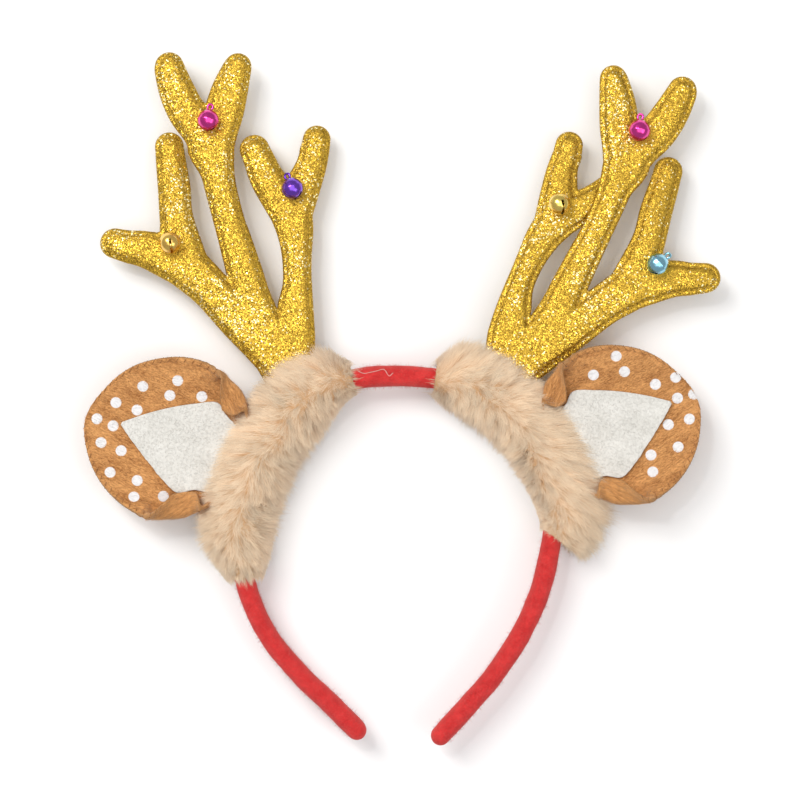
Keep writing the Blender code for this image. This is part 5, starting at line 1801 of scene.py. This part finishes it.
@dataclass
class JingleBell:
    """A round bell of thin lacquered metal with a slot, a raised waist, a loop and a pellet."""

    name: str
    antler: PaddedAntler
    out: float
    up: float
    swing: float
    roll: float
    tip: float
    slot: str
    diameter: float = 0.0100
    wall: float = 0.0005
    slit: float = 0.0011
    slit_depth: float = 0.0030
    loop: float = 0.0036
    wire: float = 0.0011
    hole: float = 0.00105
    hole_place: float = 0.36
    pellet: float = 0.0016

    def shell(self) -> bpy.types.Mesh:
        """Return the hollow shell, cut open below by the slot and a hole at each of its ends."""
        turn = np.linspace(0.0, math.pi, 41)
        bulge = 0.00014 * np.exp(-((turn - math.pi / 2) / 0.09) ** 2)
        outer = self.turned_body(self.diameter / 2 - 0.0001 + bulge, turn, "bell_shell")
        inner = self.turned_body(np.full(25, self.diameter / 2 - self.wall),
                                 np.linspace(0.0, math.pi, 25), "bell_hollow")
        angle = np.arange(20) * 2 * math.pi / 20
        low = np.stack([np.cos(angle) * self.hole, np.full(20, -self.diameter),
                        np.sin(angle) * self.hole], axis=1)
        half, wide = self.diameter * self.hole_place, self.slit / 2
        centre = np.array([half, 0.0, 0.0])
        height = (0, 0.55 * self.diameter, 0)
        holes = [self.loose("bell_hole", skin(np.stack([low + way * centre, low + way * centre + height])))
                 for way in (-1.0, 1.0)]
        corners = np.array([(-half, -wide), (half, -wide), (half, wide), (-half, wide)])
        bar = np.stack([np.column_stack([corners[:, 0], np.full(4, level), corners[:, 1]])
                        for level in (-self.diameter, self.slit_depth - self.diameter / 2)])
        slit = self.loose("bell_slit", skin(bar))
        for cutter in (inner, slit, *holes):
            change = outer.modifiers.new(cutter.name, "BOOLEAN")
            change.object = cutter
            change.operation = "DIFFERENCE"
            change.solver = "EXACT"
        bpy.context.view_layer.update()
        result = bpy.data.meshes.new_from_object(outer.evaluated_get(bpy.context.evaluated_depsgraph_get()))
        for thing in (outer, inner, slit, *holes):
            bpy.data.objects.remove(thing, do_unlink=True)
        return result

    def loose(self, name: str, parts: tuple[Array, list[Array]]) -> bpy.types.Object:
        """Return an object that is only used for cutting."""
        thing = bpy.data.objects.new(name, mesh_of(name, *parts))
        bpy.context.scene.collection.objects.link(thing)
        return thing

    def turned_body(self, radius: Array, turn: Array, name: str) -> bpy.types.Object:
        """Return a body turned about the loop's axis, with the radius at each angle from the top."""
        angle = np.arange(48) * 2 * math.pi / 48
        ring = np.stack([np.cos(angle), np.zeros(48), np.sin(angle)], axis=1)
        radius, turn = radius[1:-1], turn[1:-1]
        sections = (radius * np.sin(turn))[:, None, None] * ring[None]
        sections = sections + (radius * np.cos(turn))[:, None, None] * np.array([0.0, 1.0, 0.0])
        points, faces = skin(sections)
        points[-2] = (0.0, radius[0], 0.0)
        points[-1] = (0.0, -radius[-1], 0.0)
        return self.loose(name, (points, faces))

    def add_ons(self) -> tuple[Array, list[Array]]:
        """Return the wire loop on top and the pellet inside."""
        angle = np.linspace(-0.30 * math.pi, 1.30 * math.pi, 30)
        middle = (self.loop - self.wire) / 2
        path = np.stack([middle * np.cos(angle), self.diameter / 2 + middle * 0.85 + middle * np.sin(angle),
                         np.zeros(30)], axis=1)
        points, faces = tube(path, self.wire / 2, 10)
        turn = np.linspace(0.0, math.pi, 12)[1:-1]
        round_it = np.arange(16) * 2 * math.pi / 16
        ring = np.stack([np.cos(round_it), 0.0 * round_it, np.sin(round_it)], axis=1)
        pole = np.array([0.0, 1.0, 0.0])
        ball = np.sin(turn)[:, None, None] * ring[None] + np.cos(turn)[:, None, None] * pole
        pellet, pellet_faces = skin(ball * self.pellet + (0.0, -0.0026, 0.0))
        joined = [np.concatenate([one, other + len(points)]) for one, other in zip(faces, pellet_faces)]
        return np.concatenate([points, pellet]), joined

    def dress(self, finish: LacquerFinish, thread: bpy.types.Material) -> None:
        """Make the bell and sew it on.

        Args:
            finish: The lacquered metal.
            thread: The thread that holds its loop.
        """
        spot = np.array([[self.out, self.up]]) * self.antler.height
        where = self.antler.in_space(spot, self.antler.thickness / 2 + CLEARANCE + self.diameter / 2)[0]
        turn = Matrix.Translation(where)
        for degrees, axis in ((self.swing, "Z"), (-self.tip, "X"), (-self.roll, "Y")):
            turn = turn @ Matrix.Rotation(math.radians(degrees), 4, axis)
        material = finish.material()
        shell = self.shell()
        shell.name = self.name + "_shell"
        shell.transform(turn)
        shell.shade_smooth()
        shell.set_sharp_from_angle(angle=math.radians(38.0))
        show_piece(self.name + "_shell", shell, material, self.slot, self.name)
        loop = mesh_of(self.name + "_loop", *self.add_ons())
        loop.transform(turn)
        show_piece(self.name + "_loop", loop, material, self.slot)
        top = turn @ Vector((0.0, self.diameter / 2 + self.loop * 0.45, 0.0))
        share = np.linspace(0.0, 1.0, 9)[:, None]
        down = np.array([top.x + 0.0004, top.y - 0.0006, top.z - 0.0052])
        bow = np.sin(share * math.pi) * (0.0004, 0.0003, 0.0)
        path = np.array(top)[None] * (1 - share) + down * share + bow
        tie = mesh_of(self.name + "_thread", *tube(path, 0.00018, 6))
        show_piece(self.name + "_thread", tie, thread, "gold_glitter")


def show_thread(name: str, path: Rows, thread: bpy.types.Material, slot: str, radius: float) -> None:
    """Lay a loose end of thread.

    Args:
        name: The piece's name.
        path: The points that it runs through.
        thread: Its material.
        slot: A name for the nearest material.
        radius: Its radius.
    """
    show_piece(name, mesh_of(name, *tube(smooth_rows(path, 6), radius, 6)), thread, slot)


# The table, the light and the camera

def from_drawing(column: float, row: float, height: float) -> tuple[float, float, float]:
    """Return the place in space, at a height, of a column and row of the drawing."""
    across, down = (column - DRAWN_CROWN[0]) * DRAWN_STEP, (DRAWN_CROWN[1] - row) * DRAWN_STEP
    return across + CROWN[0], down + CROWN[1], height


@dataclass
class Studio:
    """A pale table, soft lamps and a camera straight above."""

    distance: float = 1.5
    lens: float = 150.0
    middle: tuple[float, float] = (-0.00094, -0.00036)

    def table(self) -> None:
        """Lay the table top under the headband."""
        size = np.linspace(-3.0, 3.0, 13)
        out, up = np.meshgrid(size, size, indexing="ij")
        points = np.stack([out.ravel(), up.ravel(), np.full(out.size, -0.0002)], axis=1)
        index = np.arange(out.size).reshape(out.shape)
        quads = np.stack([index[:-1, :-1], index[1:, :-1], index[1:, 1:], index[:-1, 1:]], axis=-1)
        floor = bpy.data.objects.new("table_top", mesh_of("table_top", points, [quads.reshape(-1, 4)]))
        bpy.context.scene.collection.objects.link(floor)
        floor.data.materials.append(TableFinish().material())

    def lamp(self, name: str, place: tuple[float, float, float], size: float, power: float,
             colour: Colour) -> None:
        """Hang a square lamp that faces the headband.

        Args:
            name: The lamp's name.
            place: Its place.
            size: Its side.
            power: Its power in watts.
            colour: Its colour.
        """
        light = bpy.data.lights.new(name, "AREA")
        light.size = size
        light.energy = power
        light.color = colour
        lamp = bpy.data.objects.new(name, light)
        bpy.context.scene.collection.objects.link(lamp)
        lamp.location = place
        way = Vector((0.0, 0.0, 0.02)) - Vector(place)
        lamp.rotation_euler = way.to_track_quat("-Z", "Y").to_euler()

    def light(self) -> None:
        """Light the room evenly, with a stronger soft lamp from the upper left."""
        world = bpy.data.worlds.new("studio")
        bpy.context.scene.world = world
        world.use_nodes = True
        world.node_tree.nodes["Background"].inputs["Color"].default_value = (1.0, 1.0, 1.0, 1.0)
        world.node_tree.nodes["Background"].inputs["Strength"].default_value = 0.42
        self.lamp("key", (-0.8, 0.8, 1.5), 0.75, 14.5, (1.0, 0.99, 0.97))
        self.lamp("fill", (1.1, -0.5, 1.5), 0.9, 5.0, (0.97, 0.98, 1.0))
        self.lamp("spark", (-0.42, 0.52, 1.75), 0.13, 3.2, (1.0, 1.0, 1.0))
        self.lamp("top", (0.0, 0.1, 2.4), 2.2, 20.0, (1.0, 1.0, 1.0))

    def camera(self) -> None:
        """Hang the camera straight above the headband."""
        data = bpy.data.cameras.new("camera")
        data.sensor_width = 36.0
        data.lens = self.lens
        data.clip_start, data.clip_end = 0.05, 20.0
        camera = bpy.data.objects.new("camera", data)
        bpy.context.scene.collection.objects.link(camera)
        camera.location = (*self.middle, LIE_HEIGHT + self.distance)
        bpy.context.scene.camera = camera
        bpy.context.scene.view_settings.view_transform = "Standard"


# The cuffs' forms, and the dots' places along and across an ear in steps of the drawing
LEFT_CUFF_ROWS: Rows = (
    (0.00, 0.00, 0.00, 0.0), (0.04, 0.38, 0.12, 0.0), (0.08, 0.88, 0.28, 0.0), (0.13, 1.12, 0.48, 0.0),
    (0.22, 1.16, 0.84, 0.0), (0.33, 1.04, 1.00, 0.0), (0.45, 0.94, 1.02, 0.0), (0.57, 0.94, 1.04, 0.0),
    (0.70, 1.04, 0.98, 0.0), (0.80, 1.06, 0.84, 0.0), (0.88, 0.72, 0.62, 0.0), (0.95, 0.30, 0.30, -4.0),
    (1.00, 0.00, 0.00, -8.0),
)
RIGHT_CUFF_ROWS: Rows = (
    (0.00, 0.05, 0.05, 0.0), (0.06, 0.62, 0.42, 0.0), (0.12, 1.10, 0.60, 0.0), (0.22, 1.12, 0.78, 0.0),
    (0.35, 1.00, 0.86, 0.0), (0.48, 1.05, 0.84, 0.0), (0.60, 1.08, 0.74, 0.0), (0.71, 1.24, 0.58, 3.0),
    (0.81, 1.60, 0.36, 10.0), (0.88, 1.42, 0.20, 18.0), (0.95, 1.00, 0.02, 24.0), (1.00, 0.60, 0.00, 28.0),
)
LEFT_DOTS = (
    (89.7, -34.5), (60.2, -54.2), (61.4, -37.2), (107.6, -8.4), (85.4, -10.1), (31.8, -49.3), (118.3, 14.3),
    (100.8, 14.2), (104.9, 34.6), (83.4, 33.8), (84.5, 58.4), (56.6, 54.7), (52.9, 71.6), (26.4, 58.7),
)
RIGHT_DOTS = (
    (68.6, -59.9), (39.7, -54.5), (68.1, -41.8), (88.6, -15.1), (109.5, -11.3), (100.8, 7.9), (116.7, 12.4),
    (100.8, 32.1), (79.9, 26.5), (50.0, 44.6), (77.4, 51.0), (43.3, 60.4),
)


def dot_centres(dots: tuple[tuple[float, float], ...], start: float) -> tuple[tuple[float, float], ...]:
    """Return the dots' places on the cloth in metres, from the table's steps and where it starts."""
    return tuple(((along + start) * DRAWN_STEP, across * DRAWN_STEP) for along, across in dots)


def main() -> None:
    """Build the headband's pieces in order and dress them."""
    logging.basicConfig(level=logging.INFO, format="%(message)s")
    studio = Studio()
    studio.table()
    studio.light()
    studio.camera()

    hoop = Hoop()
    left_cuff = FurCuff(hoop, Side.LEFT, 0.0165, 0.1200, LEFT_CUFF_ROWS)
    right_cuff = FurCuff(hoop, Side.RIGHT, 0.0150, 0.1060, RIGHT_CUFF_ROWS)
    bare = ((hoop.distance[0], -0.1345), (-0.0175, 0.0160), (0.1190, hoop.distance[-1]))
    red = FeltFinish("red_felt", (0.55, 0.016, 0.018), (0.82, 0.055, 0.052), (1.0, 0.45, 0.4), 1800.0,
                     0.0004)
    # The fluff's first colour, at the fibres' roots, is darker as painted shade.
    hoop.dress(red, PileFinish("red_felt_fluff", (0.60, 0.04, 0.04), (0.85, 0.17, 0.15), 0.9), bare)

    # The fur's first colour, at the hairs' roots, is darker as painted shade deep in the pile.
    fur = PileFinish("tan_fur", (0.64, 0.39, 0.20), (0.94, 0.775, 0.57), 0.75)
    for cuff in (left_cuff, right_cuff):
        cuff.dress(fur)

    # The third colour is a painted glint on random flakes.
    glitter = GlitterFinish("gold_glitter", (0.27, 0.15, 0.015), (0.78, 0.49, 0.052), (1.0, 0.88, 0.48),
                            (0.26, 0.13, 0.008)).material()
    thread = FeltFinish("gold_thread", (0.50, 0.29, 0.02), (0.72, 0.46, 0.05), (1.0, 0.9, 0.6), 6000.0,
                        0.0001).material()
    left = PaddedAntler(hoop, Side.LEFT, 0.0555, 0.0005, 0.0060, 0.0, 1.00,
                        Bends(6.0, -8.0, 0.0052, 0.0052, 0.0), 0.0, 0.10)
    right = PaddedAntler(hoop, Side.RIGHT, 0.0555, -0.0015, 0.0, 10.0, 1.02,
                         Bends(17.0, -8.0, 0.0060, 0.0052, 0.25), 0.00055, 0.60)
    for antler in (left, right):
        antler.dress(glitter, thread)

    # The nap's first colour, at the fibres' roots, is darker as painted shade.
    nap = PileFinish("plush_nap", (0.48, 0.21, 0.065), (0.84, 0.44, 0.17), 0.8).material()
    felt = FeltFinish("white_felt", (0.63, 0.61, 0.56), (0.80, 0.78, 0.73), (1.0, 1.0, 1.0), 1000.0,
                      0.00035).material()
    brown = ((0.35, 0.135, 0.036), (0.76, 0.375, 0.132), (0.86, 0.84, 0.84))
    ears = ((PlushEar(hoop, Side.LEFT, 0.0838, 24.0, 2.0, 1.00), LEFT_DOTS, 44.0),
            (PlushEar(hoop, Side.RIGHT, 0.0843, 29.7, 5.0, 0.94), RIGHT_DOTS, 45.0))
    brown_thread = FeltFinish("brown_thread", (0.22, 0.085, 0.025), (0.36, 0.15, 0.05), (1.0, 0.8, 0.6), 6000.0,
                              0.0001).material()
    for ear, dots, start in ears:
        plush = PlushFinish("brown_plush_" + ear.side.word, *brown, dot_centres(dots, start), 0.00245)
        ear.dress(plush, nap, felt, brown_thread)

    magenta = LacquerFinish("magenta_lacquer", (0.86, 0.04, 0.36), (0.70, 0.02, 0.27))
    bells = (
        (JingleBell("bell_magenta_left", left, 0.210, 0.805, -8.0, 20.0, 8.0, "magenta_bell"), magenta),
        (JingleBell("bell_purple", left, -0.078, 0.610, 22.0, 25.0, 12.0, "purple_bell"),
         LacquerFinish("purple_lacquer", (0.24, 0.07, 0.72), (0.15, 0.03, 0.52))),
        (JingleBell("bell_orange", left, 0.320, 0.457, 20.0, 80.0, 62.0, "orange_bell"),
         LacquerFinish("orange_lacquer", (1.0, 0.70, 0.16), (0.90, 0.50, 0.08))),
        (JingleBell("bell_magenta_right", right, 0.222, 0.828, -4.0, 20.0, 5.0, "magenta_bell"),
         magenta),
        (JingleBell("bell_gold", right, -0.087, 0.588, 35.0, 60.0, 55.0, "gold_bell"),
         LacquerFinish("gold_lacquer", (1.0, 0.76, 0.18), (0.95, 0.66, 0.12))),
        (JingleBell("bell_sky", right, 0.338, 0.470, -50.0, 30.0, 10.0, "sky_bell"),
         LacquerFinish("sky_lacquer", (0.36, 0.72, 0.88), (0.26, 0.60, 0.78))),
    )
    for bell, finish in bells:
        bell.dress(finish, thread)

    pale = FeltFinish("pale_thread", (0.70, 0.55, 0.50), (0.86, 0.72, 0.66), (1.0, 1.0, 1.0), 6000.0,
                      0.0001).material()
    line = ((358, 371), (364, 373.5), (370, 372.5), (377, 371), (384, 369.5), (389, 376), (393, 373))
    path = tuple(from_drawing(*spot, LIE_HEIGHT + 0.0056) for spot in line)
    show_thread("loose_thread", path, pale, "red_felt", 0.00011)


if __name__ == "__main__":
    main()
